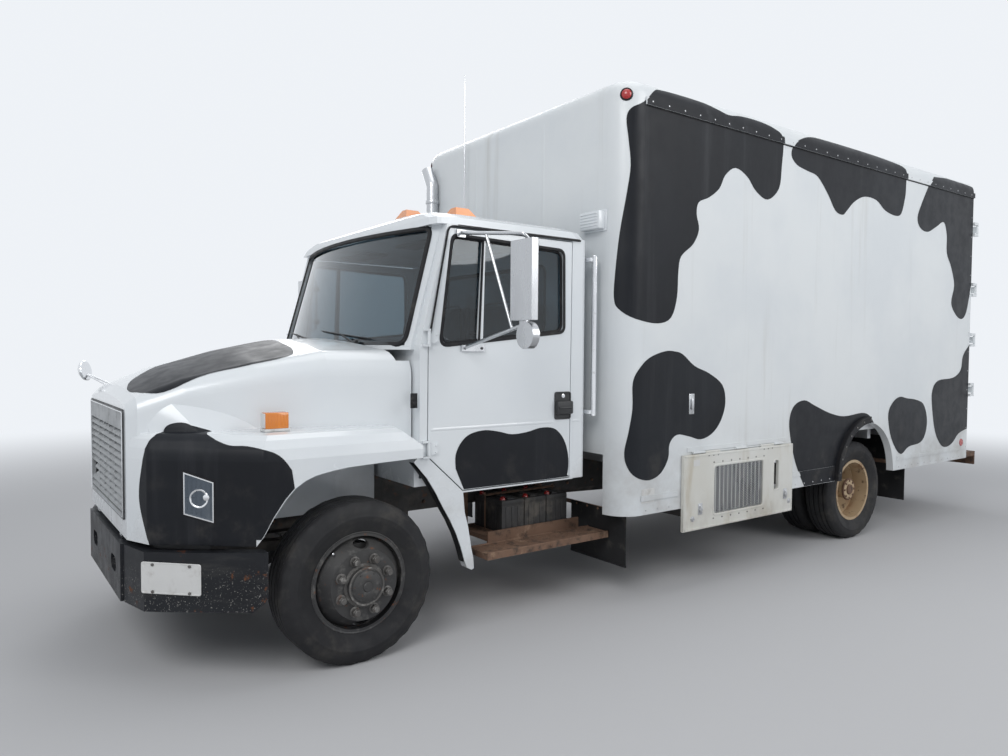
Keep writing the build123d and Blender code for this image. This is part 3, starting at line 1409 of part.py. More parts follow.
# Grab bars: the left one stands behind the cab corner, the right one beside the cab, clear of the stack
with BuildPart() as grab_bars:
    left_bar = (cab_half + 24, at(cab_rear) + 38)
    right_bar = (-cab_half - 42, at(cab_rear) - 70)
    for x, y in (left_bar, right_bar):
        add(straight_bar((x, y, 1206), (x, y, 2206), 17))
    for z in (1226, 2186):
        block(cab_half - 60, left_bar[0], at(cab_rear) + small_gap, left_bar[1], z - 12, z + 12)
        block(right_bar[0], -cab_half - small_gap, right_bar[1] - 12, right_bar[1] + 12, z - 12, z + 12)
grab_bars.part.label = "grab_bars"
export_step(grab_bars.part, "parts/grab_bars.step")

# Lamps on the hood: a headlamp in each slanted nose panel and a side lamp on each fender
side_lamp = (900.0, -390.0, 1225.0)
with BuildPart() as hood_lamps:
    for side in (1, -1):
        add(headlamp(side, 0, -24, 4))
        middle = side * side_lamp[0]
        lamp_y = at(side_lamp[1])
        block(middle - 30, middle + 30, lamp_y - 55, lamp_y + 55, fender_top + small_gap, fender_top + 90)
hood_lamps.part.label = "hood_lamps"
export_step(hood_lamps.part, "parts/hood_lamps.step")

# Tail lamps under the rear doors
tail_lamp_z = 720.0
with BuildPart() as tail_lamps:
    for side in (1, -1):
        for x in (box_half - 150, box_half - 330):
            middle = (side * x, at(box_rear) + small_gap, tail_lamp_z)
            with BuildSketch(Plane(origin=middle, x_dir=(-1, 0, 0), z_dir=(0, 1, 0))):
                RectangleRounded(150, 66, 30)
            extrude(amount=18, taper=14)
tail_lamps.part.label = "tail_lamps"
export_step(tail_lamps.part, "parts/tail_lamps.step")
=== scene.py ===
"""Looks of the box truck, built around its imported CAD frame.

Everything is in metres in the frame's own axes: +X is the driver's side, +Y the rear and +Z up.
Places along the truck are given as a distance behind the front axle and turned into Y by at().
"""

import json
import logging
import math
from dataclasses import dataclass
from enum import Enum
from typing import Callable, Iterable, Optional, Sequence

import bmesh
import bpy
from mathutils import Matrix, Vector
from mathutils.bvhtree import BVHTree

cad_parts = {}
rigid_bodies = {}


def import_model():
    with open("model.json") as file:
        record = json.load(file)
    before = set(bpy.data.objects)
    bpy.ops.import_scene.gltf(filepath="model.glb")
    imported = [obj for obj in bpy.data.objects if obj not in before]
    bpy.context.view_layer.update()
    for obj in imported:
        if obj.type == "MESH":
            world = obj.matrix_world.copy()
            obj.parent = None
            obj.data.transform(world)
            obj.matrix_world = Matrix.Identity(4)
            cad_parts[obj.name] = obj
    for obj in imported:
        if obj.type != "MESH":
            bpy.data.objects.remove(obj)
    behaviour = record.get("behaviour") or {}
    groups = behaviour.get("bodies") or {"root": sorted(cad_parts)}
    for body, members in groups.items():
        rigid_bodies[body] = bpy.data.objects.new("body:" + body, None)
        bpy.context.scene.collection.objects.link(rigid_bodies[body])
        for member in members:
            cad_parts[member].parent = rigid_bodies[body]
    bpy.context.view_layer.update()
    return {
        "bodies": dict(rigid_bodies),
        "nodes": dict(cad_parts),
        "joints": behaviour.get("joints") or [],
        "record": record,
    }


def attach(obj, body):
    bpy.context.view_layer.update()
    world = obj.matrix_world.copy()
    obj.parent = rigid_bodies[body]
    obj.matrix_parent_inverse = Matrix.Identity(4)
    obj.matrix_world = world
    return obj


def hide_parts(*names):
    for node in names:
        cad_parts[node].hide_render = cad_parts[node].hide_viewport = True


LOG = logging.getLogger("box_truck")

Point2 = tuple[float, float]
Point3 = tuple[float, float, float]

FRONT_AXLE_Y = -2.910
SHARP_ANGLE = math.radians(35.0)
SPAN_STEPS = 4


def at(behind_front_axle: float) -> float:
    """Return the Y of a place that lies this far behind the front axle."""
    return FRONT_AXLE_Y + behind_front_axle


class Side(Enum):
    """The two sides of the truck, with the sign of X."""

    LEFT = 1
    RIGHT = -1


class Body(Enum):
    """The bodies that pieces ride on."""

    CHASSIS = "chassis"
    HOOD = "hood_panel"
    DOOR_LEFT = "left_door"
    DOOR_RIGHT = "right_door"
    CARGO_LEFT = "left_cargo_door"
    CARGO_RIGHT = "right_cargo_door"
    HATCH = "access_hatch"
    WHEEL_FRONT_LEFT = "front_left_wheel"
    WHEEL_FRONT_RIGHT = "front_right_wheel"
    WHEELS_REAR_LEFT = "rear_left_wheels"
    WHEELS_REAR_RIGHT = "rear_right_wheels"


CHASSIS = (Body.CHASSIS,)
CHASSIS_SIDES = CHASSIS * 2
HOOD = (Body.HOOD,)
HOOD_SIDES = HOOD * 2
HATCH = (Body.HATCH,)
DOORS = (Body.DOOR_LEFT, Body.DOOR_RIGHT)
CARGO_DOORS = (Body.CARGO_LEFT, Body.CARGO_RIGHT)
FRONTS = (Body.WHEEL_FRONT_LEFT, Body.WHEEL_FRONT_RIGHT)
REARS = (Body.WHEELS_REAR_LEFT, Body.WHEELS_REAR_RIGHT)


class Nodes:
    """A material's node tree, with short calls for the nodes that the finishes share."""

    def __init__(self, name: str) -> None:
        """Start an empty material with a shader and an output."""
        self.material = bpy.data.materials.new(name)
        self.material.use_nodes = True
        self.tree = self.material.node_tree
        self.tree.nodes.clear()
        self.output = self.add("ShaderNodeOutputMaterial")
        self.shader = self.add("ShaderNodeBsdfPrincipled")
        self.tree.links.new(self.shader.outputs[0], self.output.inputs["Surface"])
        self.place = self.add("ShaderNodeTexCoord").outputs["Object"]

    def add(self, kind: str, **settings: object) -> bpy.types.Node:
        """Add a node and set its properties.

        Args:
            kind: the node's type name.
            settings: properties of the node.

        Returns:
            The new node.
        """
        node = self.tree.nodes.new(kind)
        for key, value in settings.items():
            setattr(node, key, value)
        return node

    def feed(self, socket: bpy.types.NodeSocket, value: object) -> None:
        """Link a socket to another one, or set its value."""
        if isinstance(value, bpy.types.NodeSocket):
            self.tree.links.new(value, socket)
        else:
            socket.default_value = value

    def noise(self, scale: float, detail: float = 4.0, stretch: Point3 = (1, 1, 1),
              rough: float = 0.55) -> bpy.types.NodeSocket:
        """Return a noise value over the object's own coordinates.

        Args:
            scale: cells per metre.
            detail: octaves.
            stretch: factors on X, Y and Z, so that a small one draws the noise out along that axis.
            rough: how strong the fine octaves are.

        Returns:
            The noise's value socket.
        """
        mapping = self.add("ShaderNodeMapping")
        self.feed(mapping.inputs["Vector"], self.place)
        mapping.inputs["Scale"].default_value = stretch
        node = self.add("ShaderNodeTexNoise")
        self.feed(node.inputs["Vector"], mapping.outputs[0])
        node.inputs["Scale"].default_value = scale
        node.inputs["Detail"].default_value = detail
        node.inputs["Roughness"].default_value = rough
        return node.outputs["Fac"]

    def ramp(self, value: object, low: float, high: float, start: float = 0.0,
             end: float = 1.0) -> bpy.types.NodeSocket:
        """Map a value from low and high to start and end, held at both ends.

        Returns:
            The mapped value's socket.
        """
        node = self.add("ShaderNodeMapRange", interpolation_type="SMOOTHSTEP")
        self.feed(node.inputs["Value"], value)
        for key, number in (("From Min", low), ("From Max", high), ("To Min", start), ("To Max", end)):
            node.inputs[key].default_value = number
        return node.outputs[0]

    def math(self, operation: str, a: object, b: object = 0.0) -> bpy.types.NodeSocket:
        """Return one math operation's value."""
        node = self.add("ShaderNodeMath", operation=operation, use_clamp=False)
        self.feed(node.inputs[0], a)
        self.feed(node.inputs[1], b)
        return node.outputs[0]

    def mix(self, amount: object, a: object, b: object) -> bpy.types.NodeSocket:
        """Return a mix of two colours, each a socket or a colour of three numbers."""
        node = self.add("ShaderNodeMix", data_type="RGBA")
        self.feed(node.inputs[0], amount)
        for index, value in ((6, a), (7, b)):
            self.feed(node.inputs[index], value if isinstance(value, bpy.types.NodeSocket) else (*value, 1.0))
        return node.outputs[2]

    def level(self, amount: object, a: object, b: object) -> bpy.types.NodeSocket:
        """Return a mix of two numbers."""
        node = self.add("ShaderNodeMix", data_type="FLOAT")
        for index, value in ((0, amount), (2, a), (3, b)):
            self.feed(node.inputs[index], value)
        return node.outputs[0]

    def height(self) -> bpy.types.NodeSocket:
        """Return the height above the ground at rest."""
        node = self.add("ShaderNodeSeparateXYZ")
        self.feed(node.inputs[0], self.place)
        return node.outputs[2]

    def bump(self, value: object, distance: float, strength: float = 1.0) -> None:
        """Raise the surface by a value times a distance in metres."""
        node = self.add("ShaderNodeBump")
        node.inputs["Strength"].default_value = strength
        node.inputs["Distance"].default_value = distance
        self.feed(node.inputs["Height"], value)
        self.feed(self.shader.inputs["Normal"], node.outputs[0])

    def set(self, **values: object) -> None:
        """Set or link the shader's sockets, spaces in their names written as underscores."""
        for key, value in values.items():
            self.feed(self.shader.inputs[key.replace("_", " ")], value)


@dataclass(frozen=True)
class Layer:
    """A patchy second coat over a finish.

    colour: the coat's colour. scale: noise cells per metre. low, high: noise values where it starts and is full.
    stretch: factors on X, Y, Z. rough, metallic: its surface. strength: how much of the finish it hides.
    below: heights over which it fades out upwards.
    """

    colour: Point3
    scale: float
    low: float
    high: float
    stretch: Point3 = (1.0, 1.0, 1.0)
    rough: float = 0.8
    metallic: float = 0.0
    strength: float = 1.0
    below: Optional[Point2] = None


@dataclass(frozen=True)
class Finish:
    """A finish of the truck: a base coat, its patchy layers and its grain.

    slot: the record's material slot, which is not used. colour, shade: the base colour and what it drifts to over a
    metre or so.
    rough: lowest and highest roughness. coat: clear lacquer. grain: noise cells per metre and depth in metres.
    stretch: factors on the noise along X, Y and Z.
    """

    name: str
    slot: str
    colour: Point3
    shade: Point3
    rough: Point2 = (0.3, 0.45)
    metallic: float = 0.0
    coat: float = 0.0
    grain: Point2 = (40.0, 0.0002)
    stretch: Point3 = (1.0, 1.0, 1.0)
    layers: tuple[Layer, ...] = ()
    sheen: float = 0.0
    specular: float = 0.5

    def make(self) -> bpy.types.Material:
        """Build the finish as a node material.

        Returns:
            The material, made once and then kept.
        """
        label = f"{self.name}_finish"
        if label in bpy.data.materials:
            return bpy.data.materials[label]
        n = Nodes(label)
        drift = n.noise(1.3, 5.0)
        fine = n.noise(11.0, 6.0, self.stretch)
        colour = n.mix(n.ramp(drift, 0.35, 0.65), self.colour, self.shade)
        rough = n.ramp(fine, 0.3, 0.7, *self.rough)
        metal: object = self.metallic
        height = n.height()
        for layer in self.layers:
            mask = n.ramp(n.noise(layer.scale, 7.0, layer.stretch, 0.62), layer.low, layer.high, 0.0, layer.strength)
            if layer.below:
                mask = n.math("MULTIPLY", mask, n.ramp(height, *layer.below, 1.0, 0.0))
            colour = n.mix(mask, colour, layer.colour)
            rough = n.level(mask, rough, layer.rough)
            if self.metallic != layer.metallic or metal is not self.metallic:
                metal = n.level(mask, metal, layer.metallic)
        n.set(Base_Color=colour, Roughness=rough, Metallic=metal)
        if self.coat:
            n.set(Coat_Weight=self.coat, Coat_Roughness=0.12)
        if self.sheen:
            n.set(Sheen_Weight=self.sheen, Sheen_Roughness=0.5)
        if self.specular != 0.5:
            n.set(Specular_IOR_Level=self.specular)
        n.bump(n.noise(self.grain[0], 5.0, self.stretch), self.grain[1])
        return n.material


BACKDROP = (0.86, 0.89, 0.93)
DUST = (0.30, 0.27, 0.235)
RUST = (0.17, 0.062, 0.024)
RUST_PALE = (0.36, 0.17, 0.075)

CAB_WHITE = Finish(
    "cab_white", "cab_paint", (0.74, 0.77, 0.79), (0.71, 0.743, 0.77), (0.2, 0.27), coat=0.6, grain=(260.0, 0.00005),
    layers=(
        Layer(DUST, 3.0, 0.42, 0.72, strength=0.5, below=(0.5, 1.15)),
        Layer((0.46, 0.45, 0.42), 5.0, 0.6, 0.85, (1.0, 1.0, 0.12), 0.6, strength=0.16),
        Layer(RUST_PALE, 30.0, 0.76, 0.8, rough=0.8, strength=0.3, below=(0.6, 1.0)),
    ),
)
BOX_WHITE = Finish(
    "box_white", "box_panel", (0.72, 0.745, 0.755), (0.67, 0.70, 0.72), (0.3, 0.46), coat=0.15, grain=(130.0, 0.0002),
    layers=(
        Layer(DUST, 2.4, 0.36, 0.7, strength=0.55, below=(0.55, 1.25)),
        Layer((0.46, 0.45, 0.42), 7.0, 0.56, 0.8, (1.0, 1.0, 0.06), 0.6, strength=0.4),
        Layer((0.40, 0.34, 0.24), 16.0, 0.66, 0.8, (1.0, 1.0, 0.1), 0.7, strength=0.35, below=(0.9, 1.7)),
    ),
)
# Black paint with streaks, chalking and dust; the slight bluish tint of its colours is a painted reflection laid over
# the black.
PATCH_BLACK = Finish(
    "patch_black", "box_panel", (0.008, 0.009, 0.012), (0.012, 0.014, 0.018), (0.34, 0.46), grain=(300.0, 0.00006),
    layers=(
        Layer((0.06, 0.062, 0.068), 5.0, 0.5, 0.8, (1.0, 1.0, 0.07), 0.55, strength=0.45),
        Layer((0.08, 0.08, 0.08), 2.2, 0.55, 0.85, (1.0, 1.0, 0.5), 0.65, strength=0.25),
        Layer(DUST, 6.0, 0.5, 0.8, strength=0.14, below=(0.6, 1.2)),
    ), specular=0.2,
)
FRAME_BLACK = Finish(
    "frame_black", "frame_black", (0.022, 0.022, 0.023), (0.04, 0.038, 0.036), (0.5, 0.75), grain=(60.0, 0.0006),
    layers=(
        Layer((0.16, 0.14, 0.12), 6.0, 0.45, 0.7, strength=0.55),
        Layer(RUST, 14.0, 0.56, 0.72, strength=0.6),
    ),
)
BUMPER_BLACK = Finish(
    "bumper_black", "bumper_black", (0.012, 0.013, 0.016), (0.02, 0.022, 0.026), (0.36, 0.5),
    grain=(90.0, 0.0004), specular=0.25,
    layers=(
        Layer((0.07, 0.068, 0.064), 5.0, 0.52, 0.78, (0.5, 0.5, 2.5), 0.7, strength=0.5),
        Layer((0.36, 0.35, 0.33), 110.0, 0.6, 0.64, rough=0.7, strength=0.7, below=(0.46, 0.62)),
        Layer(RUST, 12.0, 0.62, 0.7, rough=0.85, strength=0.9),
    ),
)
GRILLE_GREY = Finish(
    "grille_grey", "grille_grey", (0.36, 0.375, 0.385), (0.29, 0.30, 0.31), (0.4, 0.55), grain=(200.0, 0.0001),
    layers=(Layer((0.1, 0.095, 0.09), 12.0, 0.5, 0.72, strength=0.5),),
)
CHROME = Finish(
    "chrome", "chrome_bar", (0.82, 0.83, 0.84), (0.74, 0.75, 0.77), (0.08, 0.2), 1.0, grain=(120.0, 0.00006),
    layers=(
        Layer(RUST, 40.0, 0.68, 0.76, rough=0.8, strength=0.7),
        Layer((0.3, 0.3, 0.3), 18.0, 0.6, 0.75, rough=0.5, strength=0.3),
    ),
)
STAINLESS = Finish(
    "stainless", "stack_steel", (0.60, 0.61, 0.625), (0.53, 0.54, 0.555), (0.22, 0.34), 1.0,
    grain=(30.0, 0.00002), stretch=(1.0, 1.0, 0.3),
    layers=(Layer((0.34, 0.3, 0.27), 20.0, 0.62, 0.76, (1.0, 1.0, 0.3), 0.6, 0.6, strength=0.5),),
)
ALUMINIUM = Finish(
    "aluminium", "bare_aluminium", (0.56, 0.57, 0.58), (0.48, 0.49, 0.5), (0.38, 0.55), 0.9, grain=(80.0, 0.0002),
    layers=(Layer((0.24, 0.23, 0.21), 9.0, 0.52, 0.76, (1.0, 1.0, 0.2), 0.75, 0.2, strength=0.5),),
)
RUSTY_STEEL = Finish(
    "rusty_steel", "rusty_steel", (0.13, 0.075, 0.05), (0.20, 0.12, 0.08), (0.7, 0.9), 0.15, grain=(55.0, 0.0012),
    layers=(
        Layer((0.06, 0.04, 0.03), 14.0, 0.48, 0.66, rough=0.85),
        Layer((0.36, 0.25, 0.17), 9.0, 0.58, 0.74, rough=0.9, strength=0.7),
    ),
)
WHEEL_BLACK = Finish(
    "wheel_black", "wheel_black", (0.026, 0.026, 0.028), (0.045, 0.044, 0.043), (0.42, 0.6), grain=(70.0, 0.0006),
    layers=(
        Layer((0.17, 0.165, 0.155), 16.0, 0.52, 0.72, rough=0.8, strength=0.6),
        Layer(RUST, 22.0, 0.6, 0.7, rough=0.85, strength=0.8),
    ),
)
WHEEL_CREAM = Finish(
    "wheel_cream", "wheel_cream", (0.50, 0.385, 0.25), (0.42, 0.30, 0.18), (0.5, 0.7), grain=(60.0, 0.0008),
    layers=(
        Layer((0.27, 0.13, 0.06), 8.0, 0.48, 0.68, rough=0.85, strength=0.7),
        Layer((0.07, 0.04, 0.025), 15.0, 0.56, 0.68, rough=0.9, strength=0.8),
    ),
)
HUB_STEEL = Finish(
    "hub_steel", "rusty_steel", (0.15, 0.145, 0.14), (0.09, 0.085, 0.08), (0.4, 0.62), 0.45, grain=(90.0, 0.0007),
    layers=(
        Layer((0.36, 0.35, 0.33), 24.0, 0.5, 0.68, rough=0.7, strength=0.6),
        Layer(RUST, 16.0, 0.58, 0.7, rough=0.9, strength=0.4),
    ),
)
TYRE_RUBBER = Finish(
    "tyre_rubber", "tyre_rubber", (0.017, 0.017, 0.019), (0.027, 0.027, 0.028), (0.62, 0.8),
    grain=(140.0, 0.0004), specular=0.3,
    layers=(Layer((0.12, 0.11, 0.095), 7.0, 0.5, 0.78, rough=0.95, strength=0.35),),
)
BLACK_RUBBER = Finish(
    "black_rubber", "flare_rubber", (0.010, 0.010, 0.012), (0.018, 0.018, 0.019), (0.5, 0.65),
    grain=(160.0, 0.0002), specular=0.25,
    layers=(Layer((0.13, 0.12, 0.105), 10.0, 0.52, 0.76, rough=0.85, strength=0.4),),
)
DARK_PLASTIC = Finish(
    "dark_plastic", "trim_plastic", (0.02, 0.021, 0.023), (0.03, 0.031, 0.033), (0.45, 0.6), grain=(420.0, 0.00025),
    layers=(Layer((0.16, 0.15, 0.135), 8.0, 0.55, 0.8, rough=0.8, strength=0.35),),
)
TRIM_GREY = Finish(
    "trim_grey", "trim_plastic", (0.085, 0.088, 0.095), (0.065, 0.068, 0.075), (0.55, 0.7), grain=(420.0, 0.0003),
    layers=(Layer((0.2, 0.19, 0.17), 6.0, 0.58, 0.8, rough=0.85, strength=0.35),),
)
SEAT_CLOTH = Finish(
    "seat_cloth", "seat_cloth", (0.052, 0.056, 0.068), (0.075, 0.078, 0.088), (0.85, 0.95),
    grain=(900.0, 0.0005), sheen=0.3,
    layers=(Layer((0.15, 0.145, 0.14), 600.0, 0.55, 0.7, rough=0.95, strength=0.5),),
)
CAST_IRON = Finish(
    "cast_iron", "cast", (0.06, 0.06, 0.062), (0.09, 0.085, 0.08), (0.6, 0.8), 0.3, grain=(150.0, 0.0008),
    layers=(Layer((0.14, 0.1, 0.07), 8.0, 0.5, 0.7, rough=0.9, strength=0.6),),
)
AMBER_LENS = Finish(
    "amber_lens", "amber_lens", (0.80, 0.26, 0.03), (0.66, 0.2, 0.025), (0.12, 0.24), coat=0.5,
    grain=(40.0, 0.0004), stretch=(6.0, 0.3, 0.3),
)
RED_LENS = Finish(
    "red_lens", "red_lens", (0.42, 0.02, 0.018), (0.32, 0.016, 0.014), (0.14, 0.26), coat=0.5,
    grain=(60.0, 0.0003), stretch=(1.0, 4.0, 0.3),
)
CLEAR_LENS = Finish(
    "clear_lens", "clear_lens", (0.10, 0.12, 0.145), (0.05, 0.065, 0.085), (0.3, 0.42), 0.0, grain=(16.0, 0.003),
    stretch=(3.0, 3.0, 0.6), layers=(Layer((0.16, 0.18, 0.2), 14.0, 0.5, 0.7, (1.0, 1.0, 0.5), 0.3, strength=0.5),),
    specular=0.15,
)
BLANK_WHITE = Finish(
    "blank_white", "cab_paint", (0.7, 0.7, 0.69), (0.62, 0.62, 0.61), (0.35, 0.5), grain=(200.0, 0.0001),
    layers=(Layer(DUST, 12.0, 0.5, 0.75, strength=0.5),),
)
MIRROR_GLASS = Finish(
    "mirror_glass", "chrome_bar", (0.86, 0.87, 0.88), (0.8, 0.81, 0.83), (0.02, 0.06), 1.0, grain=(5.0, 0.00001),
)
HATCH_WHITE = Finish(
    "hatch_white", "box_panel", (0.68, 0.68, 0.65), (0.62, 0.61, 0.56), (0.35, 0.5), coat=0.1, grain=(120.0, 0.0003),
    layers=(
        Layer((0.40, 0.33, 0.22), 7.0, 0.5, 0.74, (1.0, 1.0, 0.25), 0.75, strength=0.5),
        Layer(RUST, 20.0, 0.68, 0.76, rough=0.85, strength=0.8),
        Layer(DUST, 4.0, 0.4, 0.7, strength=0.5, below=(0.4, 0.75)),
    ),
)
BATTERY_BLACK = Finish(
    "battery_black", "battery_plastic", (0.022, 0.022, 0.024), (0.035, 0.034, 0.034), (0.5, 0.65),
    grain=(120.0, 0.0004),
    layers=(Layer((0.2, 0.18, 0.15), 6.0, 0.48, 0.72, rough=0.9, strength=0.55),),
)


@dataclass(frozen=True)
class GlassFinish:
    """Window glass with a thin film of dust.

    slot: the record's material slot, which is not used. tint: the colour that passes. dust: how much of it is hazed.
    """

    name: str
    slot: str
    tint: Point3
    dust: float = 0.1

    def make(self) -> bpy.types.Material:
        """Build the glass as a node material, made once.

        Returns:
            The material.
        """
        label = f"{self.name}_finish"
        if label in bpy.data.materials:
            return bpy.data.materials[label]
        n = Nodes(label)
        haze = n.ramp(n.noise(2.5, 6.0), 0.4, 0.75, 0.0, self.dust)
        streak = n.ramp(n.noise(9.0, 5.0, (1.0, 1.0, 0.15)), 0.5, 0.8, 0.0, self.dust)
        film = n.math("ADD", haze, streak)
        n.set(Base_Color=n.mix(film, self.tint, (0.5, 0.5, 0.48)))
        n.set(Roughness=n.ramp(film, 0.0, 0.3, 0.015, 0.4), IOR=1.1)
        n.set(Transmission_Weight=n.ramp(film, 0.0, 0.35, 1.0, 0.55))
        n.set(Coat_Weight=1.0, Coat_Roughness=0.02)
        n.bump(n.noise(3.0, 1.0), 0.0003)
        return n.material


CAB_GLASS = GlassFinish("cab_glass_tint", "tinted_glass", (0.26, 0.33, 0.37), 0.05)


def side_plane(x: float) -> Matrix:
    """Return the matrix from (place, height) on an upright plane at an X, with thickness along +X."""
    return Matrix.Translation((x, at(0.0), 0.0)) @ Matrix(((0, 0, 1), (1, 0, 0), (0, 1, 0))).to_4x4()


def cross_plane(place: float, out: float = 1.0, across: float = 1.0) -> Matrix:
    """Return the matrix from (X, height) on an upright plane at a place, with thickness along Y times out."""
    return Matrix.Translation((0.0, at(place), 0.0)) @ Matrix(((across, 0, 0), (0, 0, out), (0, 1, 0))).to_4x4()


def circle(x: float, place: float, height: float, radius: float, degrees: Iterable[float]) -> list[Vector]:
    """Return points on an upright circle at an X, at angles that count from the rear upwards."""
    turns = [math.radians(v) for v in degrees]
    return [Vector((x, at(place) + radius * math.cos(a), height + radius * math.sin(a))) for a in turns]


def rounded(path: Sequence[Point3], bend: float, steps: int = 6) -> list[Vector]:
    """Return a path with its corners turned into arcs of a bend radius."""
    points = [Vector(p) for p in path]
    out = [points[0]]
    for before, here, after in zip(points, points[1:], points[2:]):
        a, b = (before - here).normalized(), (after - here).normalized()
        half = a.angle(b) / 2
        reach = min(bend / math.tan(half), (before - here).length * 0.45, (after - here).length * 0.45)
        first, last = here + a * reach, here + b * reach
        for t in (i / steps for i in range(steps + 1)):
            out.append(first * (1 - t) ** 2 + here * 2 * t * (1 - t) + last * t ** 2)
    return out + [points[-1]]


def chamfered(corners: Sequence[Point2], size: float, steps: int = 4) -> list[Point2]:
    """Return a closed outline with its corners rounded off in short steps."""
    path = [(x, y, 0.0) for x, y in (*corners, *corners[:2])]
    return [(p.x, p.y) for p in rounded(path, size, steps)[1:-1]]


def box_outline(x0: float, y0: float, x1: float, y1: float, size: float = 0.0, steps: int = 4) -> list[Point2]:
    """Return the outline of a rectangle, with rounded corners where a size is given."""
    corners = [(x0, y0), (x1, y0), (x1, y1), (x0, y1)]
    return chamfered(corners, size, steps) if size else corners


def inset(outline: Sequence[Point2], width: float) -> list[Point2]:
    """Return a closed outline moved in by a width, or out when it is negative."""
    points = [Vector(p) for p in outline]
    ahead = points[1:] + points[:1]
    turn = math.copysign(1.0, sum(a.x * b.y - b.x * a.y for a, b in zip(points, ahead)))
    out = []
    for before, here, after in zip(points[-1:] + points[:-1], points, ahead):
        a, b = (here - before).normalized(), (after - here).normalized()
        na, nb = Vector((-a.y, a.x)) * turn, Vector((-b.y, b.x)) * turn
        mean = (na + nb).normalized()
        corner = here + mean * (width / max(0.3, mean.dot(na)))
        out.append((corner.x, corner.y))
    return out


def smooth(points: Sequence[Point2], closed: bool = False) -> list[Point2]:
    """Return a smooth curve through points, by Catmull-Rom spans."""
    first, last = (points[-1:], points[:2]) if closed else (points[:1], points[-1:])
    held = [Vector(p) for p in (*first, *points, *last)]
    out: list[Point2] = []
    for a, b, c, d in zip(held, held[1:], held[2:], held[3:]):
        for t in (step / SPAN_STEPS for step in range(SPAN_STEPS)):
            q = 0.5 * (2 * b + (c - a) * t + (2 * a - 5 * b + 4 * c - d) * t * t + (3 * b - a - 3 * c + d) * t ** 3)
            out.append((q.x, q.y))
    return out if closed else out + [points[-1]]


def spaced(points: Sequence[Vector], step: float) -> list[Vector]:
    """Return a path with extra points, so that none are further apart than a step."""
    out = [Vector(points[0])]
    for a, b in zip(points, points[1:]):
        count = max(1, math.ceil((Vector(b) - Vector(a)).length / step))
        out += [Vector(a).lerp(Vector(b), k / count) for k in range(1, count + 1)]
    return out


def new_object(name: str, mesh: bpy.types.Mesh, finish: object, smooth_shaded: bool = True) -> bpy.types.Object:
    """Link a mesh as an object with its finish, shaded smooth by angle where that is asked for."""
    item = bpy.data.objects.new(name, mesh)
    bpy.context.scene.collection.objects.link(item)
    mesh.materials.append(finish.make())
    if smooth_shaded:
        mesh.shade_smooth()
        mesh.set_sharp_from_angle(angle=SHARP_ANGLE)
    return item


def settle(item: bpy.types.Object, finish: "Finish", body: Body) -> bpy.types.Object:
    """Make a piece ride on a body."""
    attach(item, body.value)
    return item


def lay_film(name: str, body: Body, outline: Sequence[Point2], place: Callable[[float, float], Vector], cuts: Point2,
             extra: Iterable[tuple[int, float]] = (), hole: Sequence[Point2] = ()) -> None:
    """Lay a thin black painted film on a surface.

    Args:
        name: the piece's name.
        body: what it rides on.
        outline: its edge in the surface's own two coordinates.
        place: gives the point on the surface for the two coordinates.
        cuts: spacing of the cuts that let it bend, along each coordinate.
        extra: further cuts, as coordinate index and value.
        hole: corners of a convex hole that is left in it.
    """
    bm = bmesh.new()
    bm.faces.new([bm.verts.new((x, y, 0.0)) for x, y in outline])
    lines: list[tuple[int, float]] = list(extra)
    for index, step in enumerate(cuts):
        values = [p[index] for p in outline]
        lines += [(index, k * step) for k in range(math.ceil(min(values) / step), math.floor(max(values) / step) + 1)]
    ways = (Vector((1.0, 0.0, 0.0)), Vector((0.0, 1.0, 0.0)))
    planes = [(ways[index] * value, ways[index]) for index, value in lines]
    edges = [(Vector((*a, 0.0)), Vector((b[1] - a[1], a[0] - b[0], 0.0)).normalized())
             for a, b in zip(hole, (*hole[1:], *hole[:1]))]
    for point, normal in planes + edges:
        bmesh.ops.bisect_plane(bm, geom=bm.verts[:] + bm.edges[:] + bm.faces[:], dist=1e-6,
                               plane_co=point, plane_no=normal)
    if hole:
        middle = Vector((sum(p[0] for p in hole), sum(p[1] for p in hole), 0.0)) / len(hole)
        inside = [f for f in bm.faces if all((f.calc_center_median() - point).dot(normal)
                                             * (middle - point).dot(normal) > 0 for point, normal in edges)]
        bmesh.ops.delete(bm, geom=inside, context="FACES")
    bmesh.ops.triangulate(bm, faces=bm.faces[:])
    for vert in bm.verts:
        vert.co = place(vert.co.x, vert.co.y)
    mesh = bpy.data.meshes.new(name)
    bm.to_mesh(mesh)
    bm.free()
    settle(new_object(name, mesh, PATCH_BLACK), PATCH_BLACK, body)


